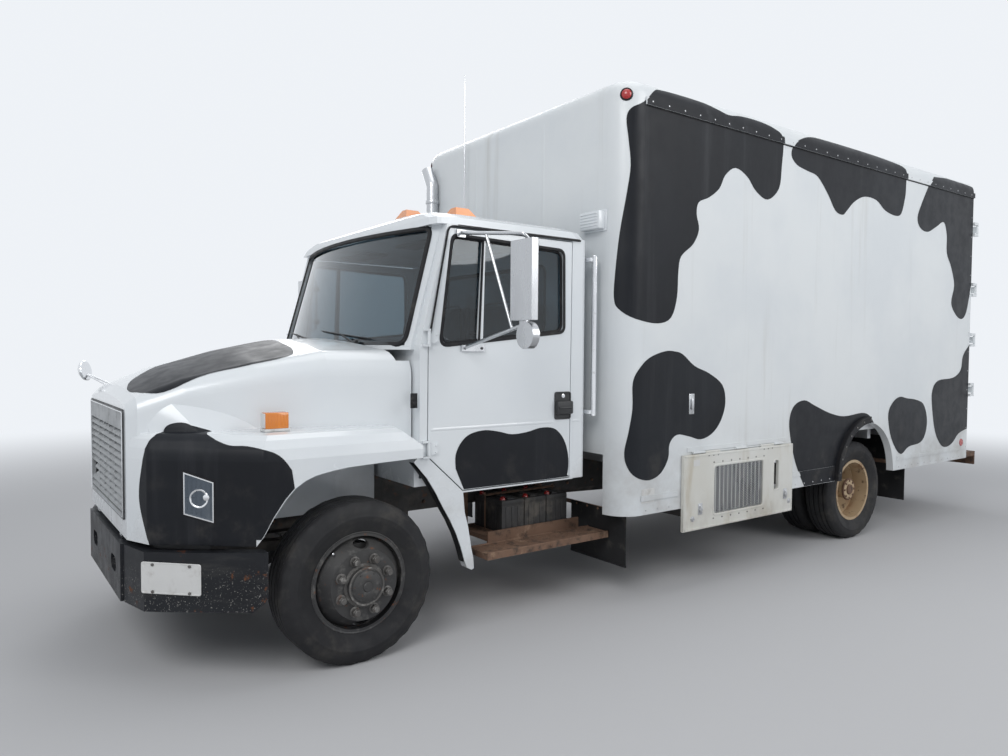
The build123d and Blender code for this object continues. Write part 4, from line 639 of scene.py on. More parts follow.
class Draft:
    """A piece while it is drawn, in the frame's own axes."""

    def __init__(self) -> None:
        """Start an empty shape."""
        self.bm = bmesh.new()

    def row(self, points: Iterable[Sequence[float]]) -> list[bmesh.types.BMVert]:
        """Add points and return their vertices."""
        return [self.bm.verts.new(p) for p in points]

    def lace(self, rows: list[list[bmesh.types.BMVert]], ring: bool = False, capped: bool = False,
             tube: bool = True) -> None:
        """Join rows of as many vertices with faces.

        Args:
            rows: the rows, in order.
            ring: join the last row to the first.
            capped: close the first and the last row with a face each.
            tube: join the last vertex of each row to its first.
        """
        for a, b in zip(rows, rows[1:] + (rows[:1] if ring else [])):
            for i in range(len(a) if tube else len(a) - 1):
                j = (i + 1) % len(a)
                self.bm.faces.new((a[i], a[j], b[j], b[i]))
        if capped:
            self.bm.faces.new(rows[0][::-1])
            self.bm.faces.new(rows[-1])

    def slab(self, low: Point3, high: Point3, bevel: float = 0.0, segments: int = 2) -> None:
        """Add a block with rounded edges.

        Args:
            low: its lowest corner.
            high: its highest corner.
            bevel: edge radius.
            segments: steps of the rounding.
        """
        middle = [(a + b) / 2 for a, b in zip(low, high)]
        size = [b - a for a, b in zip(low, high)]
        block = bmesh.new()
        bmesh.ops.create_cube(block, size=1.0, matrix=Matrix.Translation(middle) @ Matrix.Diagonal((*size, 1.0)))
        if bevel > 0:
            bmesh.ops.bevel(block, geom=block.edges[:], offset=min(bevel, min(size) * 0.45), segments=segments,
                            profile=0.5, affect="EDGES")
        mesh = bpy.data.meshes.new("block")
        block.to_mesh(mesh)
        block.free()
        self.bm.from_mesh(mesh)
        bpy.data.meshes.remove(mesh)

    @staticmethod
    def ring(centre: Vector, axis: Vector, start: Vector, radius: float, steps: int) -> list[Vector]:
        """Return points on a circle about an axis."""
        return [centre + Matrix.Rotation(2 * math.pi * i / steps, 3, axis) @ (start * radius) for i in range(steps)]

    def revolve(self, profile: Sequence[Point2], origin: Sequence[float], axis: Sequence[float], steps: int = 32,
                closed: bool = False) -> None:
        """Turn a profile about an axis.

        Args:
            profile: points as distance along the axis and radius.
            origin: where the distance is zero.
            axis: the direction of the axis.
            steps: faces round the axis.
            closed: join the last profile point to the first.
        """
        way = Vector(axis).normalized()
        start = way.orthogonal().normalized()
        rings = []
        for along, radius in profile:
            centre = Vector(origin) + way * along
            rings.append(self.row(self.ring(centre, way, start, radius, steps) if radius > 0 else [centre]))
        for a, b in zip(rings, rings[1:] + (rings[:1] if closed else [])):
            for i in range(steps):
                corners = [r[k % len(r)] for r, k in ((a, i), (a, (i + 1) % steps), (b, (i + 1) % steps), (b, i))]
                unique = list(dict.fromkeys(corners))
                if len(unique) > 2:
                    self.bm.faces.new(unique)

    def rod(self, start: Sequence[float], end: Sequence[float], radius: float, steps: int = 12) -> None:
        """Add a round bar with slightly rounded ends between two points."""
        line = Vector(end) - Vector(start)
        edge = min(radius * 0.3, line.length * 0.2)
        self.revolve([(0, 0), (0, radius - edge), (edge, radius), (line.length - edge, radius),
                      (line.length, radius - edge), (line.length, 0)], start, line, steps)

    def sweep(self, path: Sequence[Point3], radius: float, bend: float, steps: int = 12) -> None:
        """Add a pipe along a path whose corners are rounded to a bend radius."""
        points = rounded(path, bend)
        side = (points[1] - points[0]).normalized().orthogonal().normalized()
        rows = []
        for before, here, after in zip(points[:1] + points, points, points[1:] + points[-1:]):
            ahead = (after - before).normalized()
            side = (side - ahead * side.dot(ahead)).normalized()
            rows.append(self.row(self.ring(here, ahead, side, radius, steps)))
        self.lace(rows, capped=True)

    def plate(self, outline: Sequence[Point2], plane: Matrix, thickness: float) -> None:
        """Add a flat plate of an outline in a plane, with thickness along the plane's Z."""
        self.lace([self.row(plane @ Vector((x, y, z)) for x, y in outline) for z in (0.0, thickness)], capped=True)

    def frame_strip(self, outline: Sequence[Point2], width: float, plane: Matrix, height: float) -> None:
        """Add a raised strip that runs inside an outline, such as a window rubber.

        Args:
            outline: the outer corners in the plane.
            width: how far it reaches in.
            plane: matrix from the plane, with height along its Z.
            height: how far it stands out.
        """
        loops = ((outline, 0.0), (inset(outline, width * 0.2), height), (inset(outline, width * 0.8), height),
                 (inset(outline, width), 0.0))
        self.lace([self.row(plane @ Vector((x, y, lift)) for x, y in loop) for loop, lift in loops], ring=True)

    def bolts(self, spots: Iterable[Sequence[float]], way: Sequence[float], radius: float, height: float,
              sides: int = 6) -> None:
        """Add bolt heads that stand on a surface at each spot."""
        edge = height * 0.3
        for spot in spots:
            self.revolve([(-0.001, 0.0), (-0.001, radius), (height - edge, radius), (height, radius - edge),
                          (height, 0.0)], spot, way, sides)

    def ribbon(self, points: Sequence[Vector], normals: Sequence[Vector], width: float, height: float,
               closed: bool = True) -> None:
        """Add a raised strip along a line on a surface.

        Args:
            points: the line.
            normals: the surface's outward direction at each point, or one for all of them.
            width: the strip's width.
            height: how far it stands out.
            closed: whether the line is a loop.
        """
        befores = [points[-1] if closed else points[0], *points[:-1]]
        afters = [*points[1:], points[0] if closed else points[-1]]
        facing = normals if len(normals) > 1 else list(normals) * len(points)
        rows = []
        for before, point, after, normal in zip(befores, points, afters, facing):
            side = (after - before).cross(normal).normalized() * (width / 2)
            rows.append(self.row(point + side * a + normal * b for a, b in
                                 ((-1.0, 0.0), (-0.62, height), (0.62, height), (1.0, 0.0))))
        self.lace(rows, ring=closed, capped=not closed)

    def mesh(self, name: str) -> bpy.types.Mesh:
        """Turn the shape into a mesh with outward faces."""
        bmesh.ops.recalc_face_normals(self.bm, faces=self.bm.faces)
        mesh = bpy.data.meshes.new(name)
        self.bm.to_mesh(mesh)
        self.bm.free()
        return mesh

    def finish(self, name: str, finish: "Finish", body: Body) -> bpy.types.Object:
        """Turn the shape into a piece that rides on a body."""
        return settle(new_object(name, self.mesh(name), finish), finish, body)


def piece(finish: "Finish", bodies: tuple[Body, ...] = CHASSIS) -> Callable[[Callable], Callable]:
    """Mark a method that draws the piece of its own name.

    Args:
        finish: the piece's finish.
        bodies: the body it rides on, or those of the left piece and of its mirror image on the right.

    Returns:
        The decorator.
    """
    def mark(draw: Callable) -> Callable:
        """Keep the finish and the bodies with the method."""
        draw.piece = (finish, bodies)
        return draw
    return mark


class Group:
    """A part of the truck, whose marked methods each draw a piece."""

    def build(self) -> None:
        """Draw every marked piece, and the mirror image of one that has two bodies."""
        for name, draw in vars(type(self)).items():
            finish, bodies = getattr(draw, "piece", (None, ()))
            for side, body in zip(Side, bodies):
                draft = Draft()
                draw(self, draft)
                label = name
                if len(bodies) > 1:
                    draft.bm.transform(Matrix.Diagonal((float(side.value), 1.0, 1.0, 1.0)))
                    label = f"{name}_{side.name.lower()}"
                draft.finish(label, finish, body)


WALL_PATCHES: dict[str, tuple[Point2, ...]] = {
    "front_high": (
        (1.94, 3.262), (2.01, 3.285), (2.21, 3.3), (2.42, 3.295), (2.56, 3.265), (2.68, 3.245), (2.84, 3.27),
        (3.03, 3.275), (3.2, 3.25), (3.31, 3.19), (3.3, 2.99), (3.27, 2.82), (3.136, 2.722), (2.995, 2.763),
        (2.889, 2.852), (2.755, 2.894), (2.644, 2.828), (2.583, 2.73), (2.476, 2.656), (2.37, 2.61), (2.35, 2.53),
        (2.376, 2.43), (2.319, 2.327), (2.204, 2.24), (2.177, 2.142), (2.167, 1.969), (2.113, 1.834), (1.988, 1.792),
        (1.795, 1.815), (1.683, 1.878), (1.653, 1.953), (1.661, 2.118), (1.686, 2.354), (1.728, 2.607), (1.748, 2.77),
        (1.733, 2.932), (1.719, 3.058), (1.748, 3.121), (1.83, 3.165)),
    "middle_high": (
        (3.56, 3.235), (3.75, 3.285), (4.05, 3.3), (4.49, 3.302), (4.93, 3.28), (5.16, 3.24), (5.17, 3.1),
        (5.159, 2.993), (5.098, 2.844), (4.996, 2.812), (4.817, 2.837), (4.667, 2.906), (4.476, 2.912), (4.318, 2.851),
        (4.209, 2.767), (4.145, 2.725), (4.035, 2.747), (3.924, 2.861), (3.775, 2.978), (3.633, 3.002), (3.496, 3.026),
        (3.42, 3.085), (3.45, 3.17)),
    "front_low": (
        (2.061, 1.614), (1.925, 1.576), (1.833, 1.511), (1.781, 1.419), (1.78, 1.252), (1.757, 1.104), (1.731, 0.974),
        (1.75, 0.881), (1.811, 0.814), (1.927, 0.785), (2.037, 0.822), (2.105, 0.912), (2.117, 1.008), (2.188, 1.062),
        (2.305, 1.045), (2.427, 1.017), (2.55, 1.05), (2.643, 1.136), (2.688, 1.258), (2.652, 1.382), (2.508, 1.465),
        (2.354, 1.517), (2.233, 1.595), (2.146, 1.614)),
    "behind_arch": (
        (5.159, 1.222), (5.04, 1.18), (4.96, 1.08), (5.0, 0.9), (5.105, 0.76), (5.213, 0.704), (5.346, 0.761),
        (5.568, 0.786), (5.666, 0.876), (5.681, 1.013), (5.605, 1.14), (5.46, 1.186), (5.294, 1.204)),
}


@dataclass
class CargoBody:
    """The insulated body behind the cab: its skin and the black patches on its walls.

    half, front, rear: outer half width and ends. corner: radius of its front corners.
    rail_low, rail_high, rail_out: the gutter along its sides. roof_round, top: the roof's edge radius and height.
    """

    half: float = 1.219
    front: float = 1.681
    rear: float = 6.541
    corner: float = 0.170
    rail_low: float = 3.154
    rail_high: float = 3.200
    rail_out: float = 0.014
    roof_round: float = 0.105
    top: float = 3.317
    lift: float = 0.0012
    arch_middle: float = 4.620
    arch_height: float = 0.567
    arch_radius: float = 0.450
    skirt: float = 0.565
    skirt_rail: Point2 = (0.655, 0.690)
    skirt_runs: tuple[Point2, ...] = ((1.851, 2.200), (3.500, 4.100), (5.130, 6.471))
    skirt_out: float = 0.008

    def skin(self, side: Side, lift: float) -> Callable[[float, float], Vector]:
        """Return the map from a place on the wall to a point on its skin.

        Args:
            side: which side wall.
            lift: how far the point stands off the skin.

        Returns:
            A function of the distance behind the axle, which runs on round the front corner, and the height, which
            runs on over the roof's edge.
        """
        corner_start = self.front + self.corner
        bend_start = self.top - self.roof_round

        def place(along: float, up: float) -> Vector:
            """Return the point of the skin at a place and a height."""
            turn = max(0.0, min(math.pi / 2, (corner_start - along) / self.corner))
            lean = max(0.0, min(math.pi / 2, (up - bend_start) / self.roof_round))
            over = max(0.0, up - bend_start - self.roof_round * math.pi / 2)
            out = lift + (self.rail_out if self.rail_low <= up <= self.rail_high and along > corner_start else 0.0)
            if self.skirt_rail[0] <= up <= self.skirt_rail[1] and any(a <= along <= b for a, b in self.skirt_runs):
                out += self.skirt_out
            reach = (self.roof_round + lift) * (1.0 - math.cos(lean)) + over if lean > 0 else 0.0
            z = min(up, bend_start) + (self.roof_round + out) * math.sin(lean)
            x = self.half - self.corner + (self.corner + out - reach) * math.cos(turn)
            y = corner_start - (self.corner + out - reach) * math.sin(turn)
            if along > corner_start:
                x, y = self.half + out - reach, along
            past = corner_start - self.corner * math.pi / 2 - along
            if past > 0:
                x -= past
            return Vector((side.value * x, at(y), z))

        return place

    def patch_outlines(self) -> dict[str, list[Point2]]:
        """Return the black patches of a side wall as closed smooth outlines of place and height."""
        reach = self.arch_radius + 0.004
        arc = [(self.arch_middle - reach * math.cos(a), self.arch_height + reach * math.sin(a))
               for a in (math.radians(v) for v in range(0, 103, 6))]
        out = {name: smooth(points, True) for name, points in WALL_PATCHES.items()}
        edge = self.rear - 0.001
        out["rear_high"] = [(5.60, 3.16)] + smooth(
            [(5.60, 3.16), (5.47, 2.98), (5.395, 2.838), (5.455, 2.752), (5.598, 2.731), (5.768, 2.797),
             (5.913, 2.853), (5.981, 2.736), (5.992, 2.57), (6.093, 2.438), (6.166, 2.273), (6.114, 2.101),
             (6.216, 1.991), (6.346, 1.952), (6.45, 2.03), (edge, 2.3)]) + [
            (edge, 3.27), (6.43, 3.28), (6.0, 3.285), (5.70, 3.25)]
        out["rear_low"] = smooth(
            [(edge, 1.70), (6.403, 1.591), (6.36, 1.45), (6.192, 1.376), (5.885, 1.353), (5.772, 1.258),
             (5.782, 1.092), (5.855, 0.865), (5.984, 0.73), (6.109, 0.707), (6.233, 0.741), (6.356, 0.821),
             (edge, 0.86)])
        out["before_arch"] = arc + smooth(
            [(4.70, 1.03), (4.635, 1.08), (4.514, 1.106), (4.239, 1.09), (4.018, 1.127), (3.805, 1.195),
             (3.661, 1.241), (3.525, 1.205), (3.463, 1.096), (3.488, 0.937), (3.561, 0.75), (3.68, self.skirt + 0.002)])
        return out

    def build(self) -> None:
        """Lay the black patches on both side walls."""
        bends = [(1, v + shift) for v in (self.rail_low, self.rail_high, *self.skirt_rail) for shift in (-1e-4, 1e-4)]
        bends += [(0, v + shift) for run in self.skirt_runs for v in run for shift in (-1e-4, 1e-4)]
        bends += [(1, self.top - self.roof_round + k * 0.012) for k in range(14)]
        bends += [(0, self.front + self.corner - k * 0.02) for k in range(10)]
        for side in Side:
            for name, outline in self.patch_outlines().items():
                lay_film(f"patch_{name}_{side.name.lower()}", Body.CHASSIS, outline, self.skin(side, self.lift),
                         (0.25, 0.25), bends)


class Skin:
    """The outer surface of CAD nodes, which films and trims are laid on by straight casts.

    reach: how far before the surface a cast starts.
    """

    reach: float = 0.4

    def __init__(self, *nodes: bpy.types.Object) -> None:
        """Gather the nodes' faces, which are only read."""
        points: list[Vector] = []
        faces: list[tuple[int, ...]] = []
        for node in nodes:
            first = len(points)
            points += [v.co.copy() for v in node.data.vertices]
            faces += [tuple(first + i for i in p.vertices) for p in node.data.polygons]
        self.tree = BVHTree.FromPolygons(points, faces)

    def cast(self, start: Vector, way: Vector, lift: float) -> Vector:
        """Return the first point that a straight line meets, lifted off the surface.

        Args:
            start: where the line starts.
            way: its direction.
            lift: how far the point is lifted along the surface's normal.

        Returns:
            The lifted point, or the start where nothing is met.
        """
        hit, normal, _, _ = self.tree.ray_cast(start, way.normalized())
        if hit is None:
            return start
        return hit + normal * (lift if normal.dot(way) < 0 else -lift)

    def near(self, start: Vector, way: Vector, lift: float) -> Vector:
        """Return the point that a cast of unit direction meets, or the nearest edge where it passes by."""
        hit = self.cast(start, way, lift)
        return self.tree.find_nearest(start + way * self.reach)[0] if hit == start else hit


@dataclass
class Nose(Group):
    """The hood's painted patches, lamp trims and mirror, and the plate and valance of the front.

    plan: corners of the fender's outline as X and place. shoulders: heights where its rounding turns.
    lamp_middle, lamp_quad: the headlamp's middle and its corners along and up its panel.
    """

    nodes: dict[str, bpy.types.Object]
    lift: float = 0.0024
    plan: tuple[Point2, ...] = ((0.560, -1.0), (0.715, -0.935), (0.880, -0.722), (1.070, -0.505), (1.070, 0.348))
    focus: Point2 = (0.30, -0.20)
    shoulders: tuple[float, ...] = (1.085, 1.137, 1.179, 1.2006, 1.2079, 1.2081)
    lamp_middle: Point3 = (0.866, -0.740, 0.912)
    lamp_along: float = 0.415
    lamp_quad: tuple[Point2, ...] = ((-0.072, 0.121), (0.072, 0.074), (0.072, -0.118), (-0.072, -0.079))
    top_patch: tuple[Point2, ...] = (
        (0.40, -0.953), (0.471, -0.934), (0.583, -0.889), (0.623, -0.776), (0.62, -0.623), (0.664, -0.45),
        (0.682, -0.246), (0.556, -0.173), (0.322, -0.146), (0.07, -0.115), (-0.12, -0.14), (-0.21, -0.24),
        (-0.16, -0.40), (-0.07, -0.60), (-0.02, -0.76), (0.12, -0.89), (0.29, -0.945))
    fender_patch: tuple[Point2, ...] = (
        (0.171, 0.703), (0.113, 0.856), (0.108, 0.958), (0.137, 1.087), (0.157, 1.186), (0.174, 1.238), (0.247, 1.253),
        (0.325, 1.231), (0.438, 1.193), (0.551, 1.157), (0.645, 1.154), (0.752, 1.133), (0.815, 1.097), (0.861, 1.037))

    def build(self) -> None:
        """Build everything on the nose."""
        super().build()
        skin = Skin(self.nodes["hood"])
        lay_film("patch_bonnet", Body.HOOD, smooth(self.top_patch, True),
                 lambda x, y: skin.cast(Vector((x, at(y), 3.0)), Vector((0.0, 0.0, -1.0)), self.lift), (0.012, 0.03))
        arch = [(0.875, 0.948), (0.827, 0.897), (0.771, 0.818), (0.729, 0.744), (0.693, 0.685), (0.175, 0.685)]
        outline = smooth(self.fender_patch) + arch
        cuts = [(0, 0.168), (0, 0.438), (0, 0.726)] + [(1, z) for z in self.shoulders]
        cuts += [(0, 0.112 + 0.012 * k) for k in range(30)] + [(1, 1.214 + 0.006 * k) for k in range(7)]
        quad = [(self.lamp_along + x * 1.05, self.lamp_middle[2] + z * 1.04) for x, z in self.lamp_quad]
        for side in Side:
            lay_film(f"patch_fender_{side.name.lower()}", Body.HOOD, outline,
                     lambda u, z, s=side: self.around(skin, u, z, s), (0.03, 0.03), cuts, quad)

    def around(self, skin: Skin, along: float, up: float, side: Side) -> Vector:
        """Return the hood's outer point at a distance round the fender's outline and a height."""
        left = along
        for (ax, ay), (bx, by) in zip(self.plan, self.plan[1:]):
            run = math.hypot(bx - ax, by - ay)
            if left <= run:
                break
            left -= run
        x, y = ax + (bx - ax) * left / run, ay + (by - ay) * left / run
        way = Vector((self.focus[0] - x, self.focus[1] - y, 0.0)).normalized()
        start = Vector((x, y, up)) - way * Skin.reach
        return skin.near(Vector((side.value * start.x, at(start.y), up)), Vector((side.value * way.x, way.y, 0.0)),
                         self.lift)

    def lamp_plane(self, out: float) -> Matrix:
        """Return the matrix from the headlamp's own plane, moved out from the panel."""
        along = Vector((0.6124, 0.7906, 0.0))
        way = Vector((0.7906, -0.6124, 0.0))
        x, y, z = self.lamp_middle
        turn = Matrix((along, Vector((0.0, 0.0, 1.0)), way)).transposed().to_4x4()
        return Matrix.Translation(Vector((x, at(y), z)) + way * out) @ turn

    @piece(BLACK_RUBBER, HOOD_SIDES)
    def lamp_gasket(self, d: Draft) -> None:
        """Draw the rubber round the left headlamp."""
        outline = inset(self.lamp_quad, -0.007)
        d.frame_strip(outline, 0.010, self.lamp_plane(0.0005), 0.007)

    @piece(CLEAR_LENS, HOOD_SIDES)
    def lamp_reflector(self, d: Draft) -> None:
        """Draw the dim reflector behind the left headlamp's glass."""
        d.plate(inset(self.lamp_quad, -0.004),
                self.lamp_plane(0.0041), 0.0010)

    @piece(CHROME, HOOD_SIDES)
    def lamp_bezel(self, d: Draft) -> None:
        """Draw the bright rim and the reflector ring of the left headlamp."""
        outline = inset(self.lamp_quad, -0.001)
        d.frame_strip(outline, 0.009, self.lamp_plane(0.003), 0.006)
        plane = self.lamp_plane(0.0)
        way = plane.to_3x3() @ Vector((0.0, 0.0, 1.0))
        d.revolve([(0.0050, 0.046), (0.0075, 0.044), (0.0075, 0.040), (0.0056, 0.037), (0.0050, 0.036)],
                  plane @ Vector((0.0, -0.004, 0.0)), way, 40)
        d.revolve([(0.005, 0.016), (0.0085, 0.015), (0.0105, 0.008), (0.0110, 0.0)],
                  plane @ Vector((0.036, 0.002, 0.0)), way, 24)

    @piece(CLEAR_LENS, HOOD_SIDES)
    def lamp_flutes(self, d: Draft) -> None:
        """Draw the upright flutes on the left headlamp's glass."""
        plane = self.lamp_plane(0.0052)
        for k in range(6):
            x = -0.055 + k * 0.022
            high = 0.090 - (x + 0.072) * 0.326
            low = -0.052 - (x + 0.072) * 0.271
            d.rod(plane @ Vector((x, low - 0.012, 0.0)), plane @ Vector((x, high + 0.012, 0.0)), 0.0016, 8)
        d.rod(plane @ Vector((-0.066, 0.004, 0.0)), plane @ Vector((-0.012, 0.004, 0.0)), 0.0022, 8)

    @piece(AMBER_LENS, HOOD_SIDES)
    def side_lamp_lens(self, d: Draft) -> None:
        """Draw the amber lens of the left fender's side lamp, and its base."""
        d.slab((0.867, at(-0.448), 1.2215), (0.933, at(-0.332), 1.3010), 0.006)
        for k in range(7):
            y = at(-0.436 + k * 0.0155)
            d.rod((0.9325, y, 1.232), (0.9325, y, 1.291), 0.0022, 6)

    @piece(BLANK_WHITE, HOOD_SIDES)
    def side_lamp_front(self, d: Draft) -> None:
        """Draw the pale front face and the foot of the left fender's side lamp."""
        d.slab((0.871, at(-0.4535), 1.226), (0.929, at(-0.447), 1.297), 0.003)
        d.slab((0.862, at(-0.4535), 1.2085), (0.938, at(-0.326), 1.2225), 0.004)

    @piece(BLACK_RUBBER, HOOD_SIDES)
    def hood_latches(self, d: Draft) -> None:
        """Draw the rubber latch at the left foot of the hood's rear edge."""
        d.slab((1.0125, at(0.300), 1.300), (1.022, at(0.340), 1.380), 0.003)
        d.slab((1.0165, at(0.306), 1.316), (1.028, at(0.334), 1.336), 0.003)

    @piece(DARK_PLASTIC, HOOD)
    def grille_gasket(self, d: Draft) -> None:
        """Draw the dark seal round the grille opening."""
        plane = cross_plane(-1.0006, -1.0)
        d.frame_strip(box_outline(-0.522, 0.772, 0.522, 1.313, 0.02), 0.011, plane, 0.006)

    @piece(CHROME, HOOD)
    def grille_rim(self, d: Draft) -> None:
        """Draw the bright bead inside the seal."""
        plane = cross_plane(-1.0012, -1.0)
        d.frame_strip(box_outline(-0.512, 0.782, 0.512, 1.303, 0.014), 0.006, plane, 0.009)

    @piece(CHROME, HOOD)
    def fender_mirror(self, d: Draft) -> None:
        """Draw the round mirror on its two rods over the right fender."""
        head = Vector((-1.06, at(-0.965), 1.462))
        back = (head - Vector((0.42, at(1.1), 1.9))).normalized()
        d.revolve([(-0.004, 0.0), (-0.004, 0.062), (0.0, 0.067), (0.012, 0.064), (0.028, 0.045), (0.036, 0.018),
                   (0.037, 0.0)], head, back, 28)
        for foot in (Vector((-0.905, at(-0.50), 1.209)), Vector((-0.80, at(-0.62), 1.209))):
            d.rod(head + back * 0.034, foot, 0.0055, 10)
            d.revolve([(0.0, 0.0), (0.0, 0.022), (0.006, 0.020), (0.016, 0.010), (0.018, 0.0)], foot, (0, 0, 1), 16)

    def facet(self, along: float, up: float, out: float) -> Vector:
        """Return a point on the bumper's slanted left panel."""
        low, high = Vector((0.720, at(-0.955), 0.0)), Vector((0.895, at(-0.735), 0.0))
        way = (high - low).normalized()
        return low + way * along + Vector((way.y, -way.x, 0.0)) * out + Vector((0.0, 0.0, up))

    @piece(BLANK_WHITE)
    def plate_blank(self, d: Draft) -> None:
        """Draw the blank plate with its pressed rim."""
        low = self.facet(0.0, 0.0, 0.004)
        way = self.facet(1.0, 0.0, 0.004) - low
        axes = Matrix((way, Vector((0, 0, 1)), Vector((way.y, -way.x, 0)))).transposed().to_4x4()
        plane = Matrix.Translation(low) @ axes
        corners = [(-0.010, 0.462), (0.276, 0.452), (0.276, 0.602), (-0.010, 0.612)]
        outline = chamfered(corners, 0.012)
        d.plate(outline, plane, 0.002)
        d.frame_strip(outline, 0.008, plane @ Matrix.Translation((0, 0, 0.002)), 0.0016)

    @piece(HUB_STEEL)
    def plate_bolts(self, d: Draft) -> None:
        """Draw the plate's four bolts."""
        way = self.facet(0.0, 0.0, 1.0) - self.facet(0.0, 0.0, 0.0)
        for along, up in ((0.045, 0.598), (0.222, 0.592), (0.045, 0.470), (0.222, 0.464)):
            d.bolts([self.facet(along, up, 0.006)], way, 0.008, 0.006)

    @piece(DARK_PLASTIC)
    def front_valance(self, d: Draft) -> None:
        """Draw the dark apron behind the gap over the bumper, level with the radiator's foot."""
        d.slab((-0.50, at(-0.940), 0.640), (0.50, at(-0.932), 0.678), 0.003)
        for side in Side:
            low, high = Vector((side.value * 0.50, at(-0.934), 0.0)), Vector((side.value * 0.690, at(-0.880), 0.0))
            far = Vector((side.value * 0.850, at(-0.690), 0.0))
            for a, b in ((low, high), (high, far)):
                corners = [(a.x, a.y), (b.x, b.y), (b.x, b.y + 0.008), (a.x, a.y + 0.008)]
                d.plate(corners, Matrix.Translation((0, 0, 0.640)), 0.038)


@dataclass
class Cab(Group):
    """Windscreen rubber and wipers, door trims, mirrors, roof lamp feet and the belt line."""

    nodes: dict[str, bpy.types.Object]
    half: float = 1.010
    screen_low: Point2 = (0.908, 1.642)
    screen_high: Point2 = (0.885, 2.294)
    window: tuple[Point2, ...] = ((0.489, 1.636), (1.376, 1.729), (1.369, 2.224), (0.566, 2.246))
    patch: tuple[Point2, ...] = (
        (0.59, 0.95), (0.59, 1.03), (0.63, 1.10), (0.69, 1.14), (0.79, 1.155), (0.89, 1.14), (0.98, 1.12),
        (1.09, 1.126), (1.20, 1.146), (1.30, 1.137), (1.365, 1.088), (1.405, 1.017), (1.423, 0.924), (1.412, 0.842),
        (1.378, 0.829), (0.645, 0.829))

    def build(self) -> None:
        """Build everything on the cab."""
        super().build()
        for side, body in zip(Side, DOORS):
            lay_film(f"patch_door_{side.name.lower()}", body, smooth(self.patch),
                     lambda y, z, s=side: Vector((s.value * (self.half + 0.0014), at(y), z)), (0.2, 0.2))

    @piece(BLACK_RUBBER)
    def screen_rubber(self, d: Draft) -> None:
        """Draw the thick rubber round the windscreen."""
        (low_x, low_z), (high_x, high_z) = self.screen_low, self.screen_high
        corners = [(-low_x, low_z), (low_x, low_z), (high_x, high_z), (-high_x, high_z)]
        path = spaced([Vector((x, z, 0.0)) for x, z in chamfered(corners, 0.06, 6)], 0.04)
        points = [Vector((p.x, self.screen_y(p.x, p.y) - 0.001, p.y)) for p in path]
        normals = [Vector((p.x * 0.35, -1.0, 0.3)).normalized() for p in path]
        d.ribbon(points, normals, 0.030, 0.010)

    @staticmethod
    def screen_y(x: float, z: float) -> float:
        """Return the Y of the windscreen's outer face at an X and a height."""
        base, sag, half = at(0.330) + (z - 1.6123) * (0.200 / 0.695), 0.150, 0.9497
        radius = (half * half + sag * sag) / (2 * sag)
        return base - sag + radius - math.sqrt(max(0.0, radius * radius - x * x))

    @piece(DARK_PLASTIC)
    def wipers(self, d: Draft) -> None:
        """Draw two wipers parked along the foot of the windscreen."""
        for pivot, start, end in ((0.50, 0.62, 0.06), (-0.22, -0.10, -0.66)):
            foot = Vector((pivot, self.screen_y(pivot, 1.648) - 0.010, 1.648))
            blade = []
            for k in range(9):
                x = start + (end - start) * k / 8
                z = 1.672 + 0.050 * k / 8
                blade.append(Vector((x, self.screen_y(x, z) - 0.001, z)))
            for a, b in zip(blade, blade[1:]):
                d.rod(a, b, 0.0055, 8)
                d.rod(a + Vector((0, -0.010, 0.004)), b + Vector((0, -0.010, 0.004)), 0.0035, 8)
            middle = blade[4] + Vector((0.0, -0.018, 0.004))
            d.rod(foot + Vector((0, -0.012, 0)), middle, 0.006, 8)
            d.revolve([(0.0, 0.0), (0.0, 0.017), (0.020, 0.015), (0.024, 0.0)], foot + Vector((0, 0.010, 0)),
                      (0, -1, 0.3), 16)

    def window_outline(self, grow: float) -> list[Point2]:
        """Return the door window's outline with round corners, grown all round."""
        return chamfered(inset(self.window, -grow), 0.055, 6)

    @piece(BLACK_RUBBER, DOORS)
    def window_rubber(self, d: Draft) -> None:
        """Draw the left window's rubber and the division of its vent pane."""
        d.frame_strip(self.window_outline(0.012), 0.020, side_plane(self.half + 0.0004), 0.006)
        d.frame_strip(self.window_outline(-0.004), 0.012, side_plane(self.half - 0.021), 0.012)
        a, b = Vector((self.half - 0.0045, at(0.746), 1.664)), Vector((self.half - 0.0045, at(0.772), 2.238))
        d.rod(a, b, 0.007, 8)

    @piece(DARK_PLASTIC, DOORS)
    def door_handle(self, d: Draft) -> None:
        """Draw the left door's dark recess and the grip over it."""
        outline = box_outline(1.304, 1.189, 1.434, 1.360, 0.018)
        d.plate(outline, side_plane(self.half + 0.0008), 0.003)
        d.frame_strip(outline, 0.010, side_plane(self.half + 0.0038), 0.005)
        d.slab((self.half + 0.002, at(1.3065), 1.2215), (self.half + 0.0335, at(1.4335), 1.3035), 0.010)
        d.rod((self.half + 0.034, at(1.318), 1.262), (self.half + 0.034, at(1.422), 1.262), 0.006, 8)

    @piece(CHROME, DOORS)
    def door_lock(self, d: Draft) -> None:
        """Draw the left door's key barrel."""
        d.revolve([(0.0, 0.0), (0.0, 0.014), (0.005, 0.013), (0.006, 0.008), (0.004, 0.007), (0.004, 0.0)],
                  (self.half + 0.0038, at(1.369), 1.334), (1, 0, 0), 20)

    @piece(CAB_WHITE, DOORS)
    def door_crease(self, d: Draft) -> None:
        """Draw the shallow crease across the left door and its hinge leaves' screws."""
        self.bead(d, 0.428, 1.300, 1.176)
        for z in (1.072, 1.678):
            spots = [(self.half + 0.0101, at(0.458), z + dz) for dz in (-0.018, 0.018)]
            d.bolts(spots, (1, 0, 0), 0.007, 0.004)

